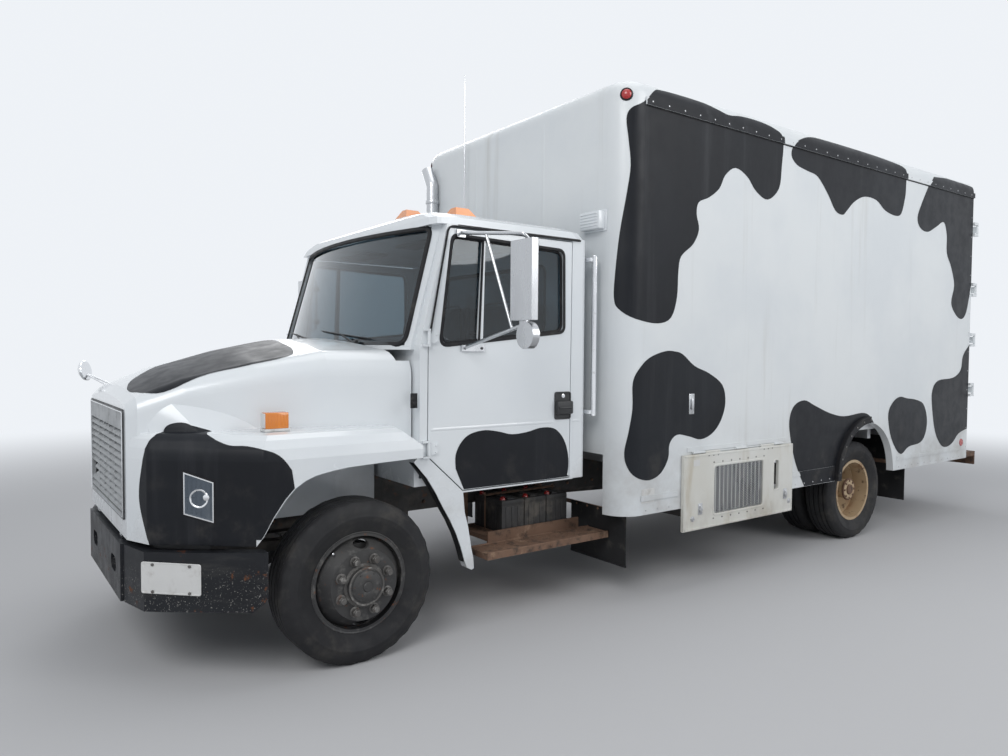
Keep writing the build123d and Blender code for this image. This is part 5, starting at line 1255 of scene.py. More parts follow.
    def bead(self, d: Draft, front: float, rear: float, z: float) -> None:
        """Draw one long shallow bead on the left side of the cab."""
        rows = []
        for y in (front, front + 0.02, rear - 0.02, rear):
            high = 0.0030 if front < y < rear else 0.0004
            rows.append(d.row((self.half + out, at(y), z + rise) for out, rise in
                              ((-0.001, -0.012), (high, -0.002), (high, 0.002), (-0.001, 0.012))))
        d.lace(rows, capped=True)

    @piece(CAB_WHITE, CHASSIS_SIDES)
    def side_crease(self, d: Draft) -> None:
        """Draw the crease's end on the left side behind the door."""
        self.bead(d, 1.446, 1.520, 1.176)

    @piece(TRIM_GREY, DOORS)
    def door_trim(self, d: Draft) -> None:
        """Draw the left door's inner lining with its armrest and window winder."""
        x = self.half - 0.046
        outline = chamfered([(0.52, 0.99), (0.68, 0.87), (1.39, 0.87), (1.39, 1.66), (0.52, 1.575)], 0.03)
        d.plate(outline, side_plane(x - 0.008), 0.0075)
        d.slab((x - 0.058, at(0.86), 1.262), (x - 0.006, at(1.26), 1.302), 0.014)
        d.slab((x - 0.026, at(0.70), 0.93), (x - 0.006, at(1.22), 1.08), 0.010)
        d.revolve([(0.0, 0.0), (0.0, 0.020), (0.012, 0.017), (0.014, 0.0)], (x - 0.006, at(0.86), 1.40), (-1, 0, 0), 16)
        d.rod((x - 0.018, at(0.86), 1.40), (x - 0.022, at(0.95), 1.43), 0.006, 8)

    @piece(MIRROR_GLASS, DOORS)
    def mirror_glass(self, d: Draft) -> None:
        """Draw the left mirror's flat glass and its round convex one, which face back."""
        d.slab((1.409, at(0.7122), 1.777), (1.571, at(0.7155), 2.167), 0.0015)
        d.revolve([(0.0, 0.0), (0.0, 0.062), (0.003, 0.058), (0.007, 0.030), (0.008, 0.0)],
                  (1.510, at(0.7262), 1.690), (0, 1, 0), 32)

    @piece(DARK_PLASTIC, DOORS)
    def mirror_edges(self, d: Draft) -> None:
        """Draw the rubber edges of the left mirror and its two clamps."""
        plane = cross_plane(0.7121, 1.0, -1.0)
        d.frame_strip(box_outline(-1.578, 1.768, -1.402, 2.176, 0.012), 0.009, plane, 0.006)
        for z in (2.110, 1.840):
            d.slab((1.434, at(0.752), z - 0.020), (1.466, at(0.800), z + 0.020), 0.006)
        for y, z in ((0.612, 2.256), (0.640, 1.623), (0.752, 1.623)):
            d.bolts([(1.0262, at(y), z)], (1, 0, 0), 0.008, 0.006)

    @piece(BLACK_RUBBER, CHASSIS_SIDES)
    def drip_rail(self, d: Draft) -> None:
        """Draw the dark gutter over the left door."""
        path = [(self.half + 0.006, at(0.42), 1.70), (self.half + 0.006, at(0.535), 2.293),
                (self.half + 0.006, at(1.50), 2.296)]
        d.ribbon(spaced(rounded(path, 0.05), 0.08), [Vector((1, 0, 0))], 0.012, 0.006, False)

    @piece(BLACK_RUBBER, CHASSIS_SIDES)
    def guard_edge(self, d: Draft) -> None:
        """Draw the rubber lip along the curved guard behind the left front wheel."""
        path = [(0.331, 1.004), (0.406, 0.915), (0.460, 0.832), (0.509, 0.742), (0.556, 0.664), (0.598, 0.580),
                (0.628, 0.502), (0.653, 0.419)]
        points = [Vector((self.half - 0.030, at(y - 0.003), z - 0.002)) for y, z in path]
        d.ribbon(points, [Vector((0.0, -0.85, -0.5)).normalized()], 0.058, 0.005, False)

    @piece(CHROME)
    def roof_lamp_feet(self, d: Draft) -> None:
        """Draw the feet under the three roof lamps."""
        skin = Skin(self.nodes["cab_roof"])
        for x in (-0.620, 0.0, 0.620):
            loop = box_outline(x - 0.098, 0.778, x + 0.098, 0.942)
            path = spaced([Vector((a, b, 0.0)) for a, b in loop + loop[:1]], 0.03)[:-1]
            points = [skin.cast(Vector((p.x, at(p.y), 3.4)), Vector((0, 0, -1)), 0.001) for p in path]
            d.ribbon(points, [Vector((0, 0, 1))], 0.012, 0.005)

    @piece(BLACK_RUBBER)
    def roof_seam(self, d: Draft) -> None:
        """Draw the seam where the roof cap meets the cab."""
        for side in Side:
            x = side.value * (self.half + 0.0005)
            points = [Vector((x, at(y), 2.3035)) for y in (0.60, 0.9, 1.2, 1.50)]
            d.ribbon(points, [Vector((side.value, 0, 0))], 0.005, 0.0012, False)

    @piece(CHROME)
    def bar_feet(self, d: Draft) -> None:
        """Draw the flanges and bolts at the ends of the grab bars."""
        for z in (1.206, 2.206):
            for x, y in ((self.half + 0.024, 1.607), (-self.half - 0.042, 1.499)):
                d.revolve([(-0.006, 0.0), (-0.006, 0.015), (-0.002, 0.0185), (0.002, 0.0185), (0.006, 0.015),
                           (0.006, 0.0)], (x, at(y), z), (0, 0, 1), 20)

    @piece(BLACK_RUBBER)
    def rear_window_rubber(self, d: Draft) -> None:
        """Draw the rubber round the cab's rear window, inside and outside."""
        loop = box_outline(-0.650, 1.730, 0.650, 2.190, 0.065, 6)
        for y, flip in ((1.5692, -1.0), (1.5238, 1.0)):
            d.frame_strip(loop, 0.022, cross_plane(y, -flip, flip), 0.006)


@dataclass
class CargoFittings(Group):
    """Rivets, lamps, labels and the outlet box on the cargo body, and what hangs under its floor.

    body: the cargo body that they sit on.
    """

    body: CargoBody

    @piece(CAB_WHITE)
    def outlet_box(self, d: Draft) -> None:
        """Draw the shallow vent box high on the front wall, with its slats."""
        d.slab((0.870, at(1.618), 2.385), (1.052, at(1.684), 2.500), 0.010)
        d.slab((0.858, at(1.672), 2.373), (1.064, at(1.682), 2.512), 0.004)
        for k in range(5):
            z = 2.402 + k * 0.019
            d.slab((0.884, at(1.612), z), (1.038, at(1.622), z + 0.008), 0.003)

    @piece(ALUMINIUM, CHASSIS_SIDES)
    def wall_rivets(self, d: Draft) -> None:
        """Draw the rows of rivets along the left gutter, skirt and rear edge."""
        x, rail = self.body.half, self.body.half + self.body.rail_out
        spots = [(rail, at(1.90 + k * 0.152), 3.177) for k in range(31)]
        spots += [(x, at(1.90 + k * 0.11), 0.592) for k in range(3)]
        spots += [(x, at(3.56 + k * 0.12), 0.592) for k in range(5)]
        spots += [(x, at(5.17 + k * 0.12), 0.592) for k in range(11)]
        spots += [(x, at(6.515), 0.68 + k * 0.19) for k in range(13)]
        d.bolts(spots, (1, 0, 0), 0.0055, 0.0026, 8)

    @piece(BLACK_RUBBER, CHASSIS_SIDES)
    def gutter_lip(self, d: Draft) -> None:
        """Draw the dark sealing lip under the left gutter."""
        x = self.body.half + 0.001
        points = [Vector((x, at(y), self.body.rail_low - 0.004)) for y in (1.86, 3.0, 4.2, 5.4, 6.535)]
        d.ribbon(points, [Vector((1, 0, 0))], 0.008, 0.004, False)

    @piece(RED_LENS, CHASSIS_SIDES)
    def corner_marker(self, d: Draft) -> None:
        """Draw the oval marker lamp on the left front corner of the roof."""
        along = self.body.front + self.body.corner - math.radians(45) * self.body.corner
        spot = self.body.skin(Side.LEFT, 0.0)(along, 3.205)
        d.revolve([(-0.004, 0.0), (-0.004, 0.032), (0.006, 0.031), (0.013, 0.024), (0.018, 0.011), (0.019, 0.0)],
                  spot, (0.7071, -0.7071, 0.0), 24)

    @piece(BLACK_RUBBER, CHASSIS_SIDES)
    def corner_marker_rim(self, d: Draft) -> None:
        """Draw the rubber rim of the same lamp."""
        along = self.body.front + self.body.corner - math.radians(45) * self.body.corner
        spot = self.body.skin(Side.LEFT, 0.0)(along, 3.205)
        d.revolve([(-0.004, 0.031), (-0.004, 0.041), (0.004, 0.040), (0.008, 0.034), (0.006, 0.031)], spot,
                  (0.7071, -0.7071, 0.0), 24, True)

    @piece(RED_LENS, CHASSIS_SIDES)
    def side_reflector(self, d: Draft) -> None:
        """Draw the round reflector at the left rear."""
        spot = (self.body.half, at(6.415), 0.729)
        d.revolve([(0.0, 0.0), (0.0, 0.036), (0.004, 0.036), (0.007, 0.032), (0.006, 0.029), (0.008, 0.014),
                   (0.009, 0.0)], spot, (1, 0, 0), 28)

    @piece(BLANK_WHITE)
    def blank_labels(self, d: Draft) -> None:
        """Draw the blank label at the foot of the left wall and one on its latch."""
        x = self.body.half
        for low, high, z0, z1 in ((1.860, 1.978, 0.640, 0.732), (2.330, 2.395, 0.842, 0.884)):
            out = x if z1 < 0.8 else x + 0.025
            outline = box_outline(low, z0, high, z1, 0.006)
            d.plate(outline, side_plane(out + 0.0002), 0.0012)

    @piece(STAINLESS)
    def side_latch(self, d: Draft) -> None:
        """Draw the small latch plate on the left wall."""
        x = self.body.half
        d.slab((x - 0.001, at(2.303), 1.193), (x + 0.003, at(2.355), 1.330), 0.0015)
        d.slab((x + 0.002, at(2.318), 1.222), (x + 0.016, at(2.340), 1.300), 0.005)
        d.bolts([(x + 0.003, at(y), z) for y in (2.312, 2.346) for z in (1.203, 1.320)], (1, 0, 0), 0.004, 0.002, 8)

    @piece(HUB_STEEL, CHASSIS_SIDES)
    def flare_bolts(self, d: Draft) -> None:
        """Draw the screws along the left flare."""
        spots = circle(self.body.half + 0.0315, self.body.arch_middle, self.body.arch_height,
                       self.body.arch_radius + 0.027, [172 - 13.5 * k for k in range(7)])
        d.bolts(spots, (1, 0, 0), 0.008, 0.004)

    @piece(BLACK_RUBBER, CHASSIS_SIDES)
    def flare_bead(self, d: Draft) -> None:
        """Draw the rolled outer bead of the left flare."""
        points = circle(self.body.half + 0.031, self.body.arch_middle, self.body.arch_height,
                        self.body.arch_radius + 0.050, [178 - 4.35 * k for k in range(21)])
        d.ribbon(points, [Vector((1, 0, 0))], 0.014, 0.006, False)

    @piece(RUSTY_STEEL, CHASSIS_SIDES)
    def flap_bar(self, d: Draft) -> None:
        """Draw the clamping bar and bolts of the left mud flap."""
        d.slab((0.645, at(5.432), 0.575), (1.145, at(5.438), 0.612), 0.002)
        d.slab((0.645, at(5.4125), 0.575), (1.145, at(5.4195), 0.612), 0.002)
        d.bolts([(0.69 + k * 0.103, at(5.438), 0.594) for k in range(5)], (0, 1, 0), 0.010, 0.008)

    @piece(BOX_WHITE)
    def front_wall_seams(self, d: Draft) -> None:
        """Draw the two upright joints of the front wall's panels."""
        for x in (-0.42, 0.42):
            points = [Vector((x, at(self.body.front + 0.0005), z)) for z in (0.9, 1.6, 2.3, 3.0, 3.19)]
            d.ribbon(points, [Vector((0, -1, 0))], 0.030, 0.0025, False)


@dataclass
class AccessDoor(Group):
    """The compartment door's mesh, frame, latches and hinge screws.

    face: X of its outer face. window: place and height of the mesh opening's corners.
    """

    face: float = 1.244
    window: tuple[Point2, Point2] = ((2.550, 0.495), (3.110, 0.825))

    @piece(STAINLESS, HATCH)
    def access_mesh(self, d: Draft) -> None:
        """Draw the diamond mesh as two families of slanted wires."""
        (y0, z0), (y1, z1) = self.window
        slope, step = 0.55, 0.0175
        for sign in (1.0, -1.0):
            layer = self.face - 0.0085 + 0.0012 * sign
            low = z0 - slope * (y1 - y0) if sign > 0 else z0
            high = z1 if sign > 0 else z1 + slope * (y1 - y0)
            count = int((high - low) / step)
            for k in range(1, count):
                start = low + k * step
                ends = sorted(((z - start) / (sign * slope) + y0) for z in (z0, z1))
                a, b = max(y0, ends[0]), min(y1, ends[1])
                if b - a > 0.006:
                    d.rod((layer, at(a), start + sign * slope * (a - y0)),
                          (layer, at(b), start + sign * slope * (b - y0)), 0.0017, 4)

    @piece(HATCH_WHITE, HATCH)
    def access_frame(self, d: Draft) -> None:
        """Draw the raised edges of the opening, the slot and the door."""
        (y0, z0), (y1, z1) = self.window
        plane, grow = side_plane(self.face - 0.0005), 0.016
        d.frame_strip(box_outline(y0 - grow, z0 - grow, y1 + grow, z1 + grow, 0.04), 0.018, plane, 0.004)
        d.frame_strip(box_outline(3.232, 0.582, 3.308, 0.818, 0.03), 0.010, plane, 0.004)
        d.frame_strip(box_outline(2.237, 0.409, 3.478, 0.918, 0.006), 0.016, plane, 0.0035)

    @piece(STAINLESS, HATCH)
    def access_latches(self, d: Draft) -> None:
        """Draw the two folding latches and their locks at the door's foot."""
        for y in (2.405, 3.385):
            d.slab((self.face - 0.001, at(y - 0.022), 0.508), (self.face + 0.003, at(y + 0.022), 0.586), 0.0015)
            d.slab((self.face + 0.002, at(y - 0.009), 0.520), (self.face + 0.015, at(y + 0.009), 0.574), 0.004)
            d.rod((self.face + 0.009, at(y - 0.019), 0.546), (self.face + 0.009, at(y + 0.019), 0.546), 0.005, 10)
            lock = (self.face, at(y - 0.079 if y < 3.0 else y + 0.050), 0.487)
            d.revolve([(0.0, 0.0), (0.0, 0.019), (0.004, 0.018), (0.005, 0.012), (0.010, 0.011), (0.010, 0.0)],
                      lock, (1, 0, 0), 20)

    @piece(HUB_STEEL, HATCH)
    def access_screws(self, d: Draft) -> None:
        """Draw the screws of the hinge leaves and of the mesh frame."""
        spots = [(self.face, at(2.49 + k * 0.050), 0.904) for k in range(3)]
        spots += [(self.face, at(3.115 + k * 0.050), 0.904) for k in range(3)]
        spots += [(self.face, at(2.545 + k * 0.095), z) for k in range(7) for z in (0.466, 0.854)]
        d.bolts(spots, (1, 0, 0), 0.0055, 0.003, 8)


@dataclass
class Rear(Group):
    """The rear doors' lock rods, trims and hinge bolts, the lamps over and under them, and the step.

    door: place of the doors' outer face. half: X of a door's outer edge. low, high: the doors' ends.
    """

    door: float = 6.6033
    half: float = 1.195
    low: float = 1.050
    high: float = 3.090

    @piece(STAINLESS, CARGO_DOORS)
    def lock_rod(self, d: Draft) -> None:
        """Draw the left door's lock rod with its guides and cams."""
        y = at(self.door + 0.013)
        d.rod((0.150, y, self.low + 0.006), (0.150, y, self.high - 0.006), 0.011, 14)
        for z in (1.20, 1.62, 2.02, 2.42, 2.84):
            d.slab((0.112, at(self.door - 0.001), z - 0.022), (0.188, at(self.door + 0.006), z + 0.022), 0.003)
            d.slab((0.132, at(self.door + 0.002), z - 0.016), (0.168, at(self.door + 0.0265), z + 0.016), 0.009)
            d.bolts([(x, at(self.door + 0.006), z) for x in (0.121, 0.179)], (0, 1, 0), 0.006, 0.004)
        for z in (self.low + 0.030, self.high - 0.030):
            d.slab((0.128, at(self.door + 0.001), z - 0.022), (0.172, at(self.door + 0.027), z + 0.022), 0.008)

    @piece(STAINLESS, CARGO_DOORS)
    def lock_handle(self, d: Draft) -> None:
        """Draw the left door's handle and its catch."""
        y = at(self.door + 0.021)
        d.rod((0.155, y, 1.450), (0.400, y, 1.435), 0.007, 12)
        d.rod((0.330, y, 1.4393), (0.402, y, 1.4349), 0.0095, 12)
        d.slab((0.268, at(self.door - 0.001), 1.412), (0.312, at(self.door + 0.027), 1.428), 0.004)
        d.slab((0.258, at(self.door - 0.001), 1.404), (0.322, at(self.door + 0.005), 1.474), 0.002)
        d.slab((0.135, at(self.door + 0.001), 1.430), (0.165, at(self.door + 0.028), 1.470), 0.007)

    @piece(ALUMINIUM, CARGO_DOORS)
    def door_edge(self, d: Draft) -> None:
        """Draw the metal edge trim of the left door."""
        corners = [(0.006, self.low + 0.002), (self.half - 0.002, self.low + 0.002),
                   (self.half - 0.002, self.high - 0.002), (0.006, self.high - 0.002)]
        d.frame_strip(chamfered(corners, 0.006), 0.048, cross_plane(self.door - 0.0005), 0.0035)
        spots = [(x, at(self.door + 0.003), self.low + 0.06 + k * 0.16) for x in (0.030, self.half - 0.026)
                 for k in range(13)]
        d.bolts(spots, (0, 1, 0), 0.005, 0.002, 8)

    @piece(BLACK_RUBBER, CARGO_DOORS)
    def door_seal(self, d: Draft) -> None:
        """Draw the rubber seal on the left door's inner side."""
        plane = cross_plane(6.5435, -1.0)
        d.frame_strip(box_outline(0.012, 1.062, 1.128, 3.036, 0.03), 0.024, plane, 0.0018)

    @piece(HUB_STEEL, CARGO_DOORS)
    def hinge_bolts(self, d: Draft) -> None:
        """Draw the bolts of the left door's hinge straps."""
        spots = [(x, at(6.617), z + dz) for z in (1.25, 1.75, 2.25, 2.85) for x in (1.060, 1.110, 1.160)
                 for dz in (-0.014, 0.014)]
        d.bolts(spots, (0, 1, 0), 0.0065, 0.004)

    @piece(BLACK_RUBBER, CHASSIS_SIDES)
    def tail_lamp_rubber(self, d: Draft) -> None:
        """Draw the rubber rings of the left tail lamps."""
        for x in (1.069, 0.889):
            d.frame_strip(box_outline(x - 0.086, 0.676, x + 0.086, 0.764, 0.040), 0.0125, cross_plane(6.5408), 0.010)

    @piece(RED_LENS)
    def rear_markers(self, d: Draft) -> None:
        """Draw the three centre lamps and the two corner lamps over the doors."""
        for x in (-1.10, -0.16, 0.0, 0.16, 1.10):
            d.revolve([(-0.001, 0.0), (-0.001, 0.022), (0.005, 0.022), (0.010, 0.016), (0.013, 0.007), (0.0135, 0.0)],
                      (x, at(6.541), 3.121), (0, 1, 0), 20)

    @piece(BOX_WHITE)
    def rear_header(self, d: Draft) -> None:
        """Draw the panel between the rear frame and the roof, with its lower bead."""
        d.slab((-1.160, at(6.482), 3.1538), (1.160, at(6.539), 3.2580), 0.003)
        d.slab((-1.205, at(6.5385), 3.148), (1.205, at(6.5445), 3.160), 0.002)
        d.bolts([(-1.12 + k * 0.14, at(6.539), 3.205) for k in range(17)], (0, 1, 0), 0.005, 0.002, 8)

    @piece(RUSTY_STEEL)
    def rear_step_treads(self, d: Draft) -> None:
        """Draw the raised cleats on the rear step."""
        for k in range(46):
            x = -1.135 + k * 0.0504
            for row in range(4):
                y = 6.600 + row * 0.062
                slant = 0.010 if (k + row) % 2 else -0.010
                d.rod((x - 0.012, at(y - slant), 0.6055), (x + 0.012, at(y + slant), 0.6055), 0.0035, 4)

    @piece(ALUMINIUM)
    def rear_frame_rivets(self, d: Draft) -> None:
        """Draw the rivets of the rear frame's sill and posts."""
        spots = [(-1.12 + k * 0.16, at(6.541), 0.960) for k in range(15)]
        spots += [(side.value * 1.208, at(6.541), 0.62 + k * 0.17) for side in Side for k in range(14)]
        d.bolts(spots, (0, 1, 0), 0.0055, 0.0022, 8)


@dataclass
class Wheels(Group):
    """Treaded tyres and the nuts, hubs and rims of all wheels.

    profile: half of a tyre's section as offset from its middle and radius, from the bead to the shoulder.
    grooves: the middles of the tread's grooves, with groove_half and groove_depth. steps: faces round a tyre.
    notch_depth: of the shoulder's notches. studs, stud_circle: how many nuts a wheel has, and their radius.
    """

    axle: float = 0.420
    rear_place: float = 4.630
    front_tyre: float = 0.940
    rear_tyres: Point2 = (1.000, 0.720)
    profile: tuple[Point2, ...] = (
        (0.083, 0.2495), (0.091, 0.264), (0.097, 0.275), (0.103, 0.288), (0.110, 0.301), (0.115, 0.314),
        (0.1175, 0.318), (0.1205, 0.328), (0.1235, 0.3385), (0.1245, 0.341), (0.1245, 0.347), (0.123, 0.350),
        (0.1225, 0.360), (0.118, 0.382), (0.110, 0.398), (0.103, 0.4045), (0.0985, 0.4130), (0.090, 0.4175))
    grooves: tuple[float, ...] = (0.062, 0.022, -0.022, -0.062)
    groove_half: float = 0.0048
    groove_depth: float = 0.012
    notch_depth: float = 0.0045
    steps: int = 120
    studs: int = 8
    stud_circle: float = 0.1375

    def build(self) -> None:
        """Build the tyres and what is on the wheels."""
        super().build()
        for side, front, rear in zip(Side, FRONTS, REARS):
            word = side.name.lower()
            tyre = self.tyre(f"tread_front_{word}", side, [self.front_tyre], 0.0, front)
            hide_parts(f"tyre_front_{word}")
            pair = self.tyre(f"tread_rear_{word}", side, list(self.rear_tyres), self.rear_place, rear)
            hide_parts(f"tyres_rear_{word}")

    def section(self) -> list[Point2]:
        """Return a tyre's whole section as a closed loop of offset and radius."""
        tread = [(0.0785, 0.4194)]
        for middle in self.grooves:
            top = 0.4198
            tread += [(middle + self.groove_half, top), (middle + self.groove_half * 0.6, top - self.groove_depth),
                      (middle - self.groove_half * 0.6, top - self.groove_depth), (middle - self.groove_half, top)]
        tread.append((-0.0785, 0.4194))
        return list(self.profile) + tread + [(-x, r) for x, r in reversed(self.profile)]

    def tyre(self, name: str, side: Side, middles: Sequence[float], place: float, body: Body) -> bpy.types.Object:
        """Build the treaded tyre or twin tyres of one wheel body.

        Args:
            name: the piece's name.
            side: the side of the truck.
            middles: X of the tyres' middles on the left.
            place: the axle's place.
            body: the wheel body.

        Returns:
            The piece.
        """
        d = Draft()
        for middle in middles:
            rows = []
            for i in range(self.steps):
                angle = 2 * math.pi * i / self.steps
                notch = self.notch_depth if i % 4 in (0, 1) else 0.0
                ring = [(x, r - notch if abs(x) > 0.084 and r > 0.395 else r) for x, r in self.section()]
                rows.append(d.row((side.value * (middle + x), at(place) + r * math.sin(angle),
                                   self.axle + r * math.cos(angle)) for x, r in ring))
            d.lace(rows, ring=True)
        return d.finish(name, TYRE_RUBBER, body)

    @piece(HUB_STEEL, FRONTS)
    def front_nuts(self, d: Draft) -> None:
        """Draw the left front wheel's nuts."""
        self.nuts(d, 1.083, 0.0, 0.030, 0.0405)

    @piece(RUSTY_STEEL, REARS)
    def rear_nuts(self, d: Draft) -> None:
        """Draw the left rear wheel's nuts."""
        self.nuts(d, 0.860, self.rear_place, 0.030, 0.052)

    @piece(WHEEL_BLACK, FRONTS)
    def front_rim_lip(self, d: Draft) -> None:
        """Draw the lip of the left front rim."""
        self.rim_lip(d, 1.0315, 0.0)

    @piece(WHEEL_CREAM, REARS)
    def rear_rim_lip(self, d: Draft) -> None:
        """Draw the lip of the left outer rear rim."""
        self.rim_lip(d, 1.0915, self.rear_place)

    @piece(CHROME, FRONTS)
    def front_valve(self, d: Draft) -> None:
        """Draw the left front wheel's valve."""
        self.valve(d, 1.045, 0.0)

    @piece(CHROME, REARS)
    def rear_valve(self, d: Draft) -> None:
        """Draw the left rear wheel's valve."""
        self.valve(d, 1.050, self.rear_place)

    def nuts(self, d: Draft, face: float, place: float, height: float, stud: float) -> None:
        """Draw the eight wheel nuts of a left wheel with their washers and stud ends."""
        turns = [22.5 + 360.0 * i / self.studs for i in range(self.studs)]
        for spot in circle(face, place, self.axle, self.stud_circle, turns):
            d.revolve([(-0.001, 0.0), (-0.001, 0.027), (0.004, 0.027), (0.006, 0.024), (0.006, 0.0)],
                      spot, (1, 0, 0), 20)
            d.revolve([(0.005, 0.0), (0.005, 0.0215), (height - 0.003, 0.0215), (height, 0.019), (height, 0.0)],
                      spot, (1, 0, 0), 6)
            d.revolve([(height - 0.001, 0.0), (height - 0.001, 0.0165), (stud - 0.003, 0.0165), (stud, 0.0135),
                       (stud, 0.0)], spot, (1, 0, 0), 14)

    @piece(HUB_STEEL, FRONTS)
    def front_hub_ring(self, d: Draft) -> None:
        """Draw the corroded ring round the left front hub."""
        d.revolve([(0.0, 0.0955), (0.0, 0.112), (0.004, 0.110), (0.006, 0.103), (0.007, 0.0965)],
                  (1.083, at(0.0), self.axle), (1, 0, 0), 48, True)
        d.revolve([(0.0295, 0.0865), (0.0295, 0.0975), (0.031, 0.0975), (0.033, 0.095), (0.033, 0.0885)],
                  (1.083, at(0.0), self.axle), (1, 0, 0), 48, True)

    @piece(WHEEL_BLACK, FRONTS)
    def front_hub_cap(self, d: Draft) -> None:
        """Draw the domed cap of the left front hub and its screws."""
        d.revolve([(0.0, 0.0), (0.0, 0.080), (0.004, 0.078), (0.010, 0.066), (0.014, 0.045), (0.015, 0.030),
                   (0.013, 0.026), (0.018, 0.022), (0.019, 0.0)], (1.1125, at(0.0), self.axle), (1, 0, 0), 40)
        d.bolts(circle(1.1200, 0.0, self.axle, 0.071, range(0, 360, 60)), (1, 0, 0), 0.006, 0.004)

    @piece(RUSTY_STEEL, REARS)
    def rear_hub_flange(self, d: Draft) -> None:
        """Draw the flange and its bolts on the end of the left rear hub."""
        spot = (1.062, at(self.rear_place), self.axle)
        d.revolve([(-0.016, 0.0), (-0.016, 0.094), (-0.004, 0.094), (-0.001, 0.091), (-0.001, 0.046), (0.010, 0.042),
                   (0.012, 0.036), (0.012, 0.0)], spot, (1, 0, 0), 40)
        d.bolts(circle(1.060, self.rear_place, self.axle, 0.074, range(0, 360, 45)), (1, 0, 0), 0.0095, 0.009)

    def rim_lip(self, d: Draft, face: float, place: float) -> None:
        """Draw the rolled lip of a left rim."""
        d.revolve([(-0.008, 0.2485), (-0.004, 0.2560), (-0.001, 0.2600), (0.0015, 0.2605), (0.0025, 0.2585),
                   (0.0010, 0.2530), (-0.004, 0.2475)], (face, at(place), self.axle), (1, 0, 0), 72, True)

    def valve(self, d: Draft, face: float, place: float) -> None:
        """Draw the valve stem of a left wheel."""
        spot = Vector((face, at(place) - 0.150, self.axle + 0.172))
        d.rod(spot - Vector((0.070, 0.0, 0.0)), spot, 0.004, 8)
        d.rod(spot - Vector((0.016, 0.0, 0.0)), spot + Vector((0.002, 0, 0)), 0.006, 10)


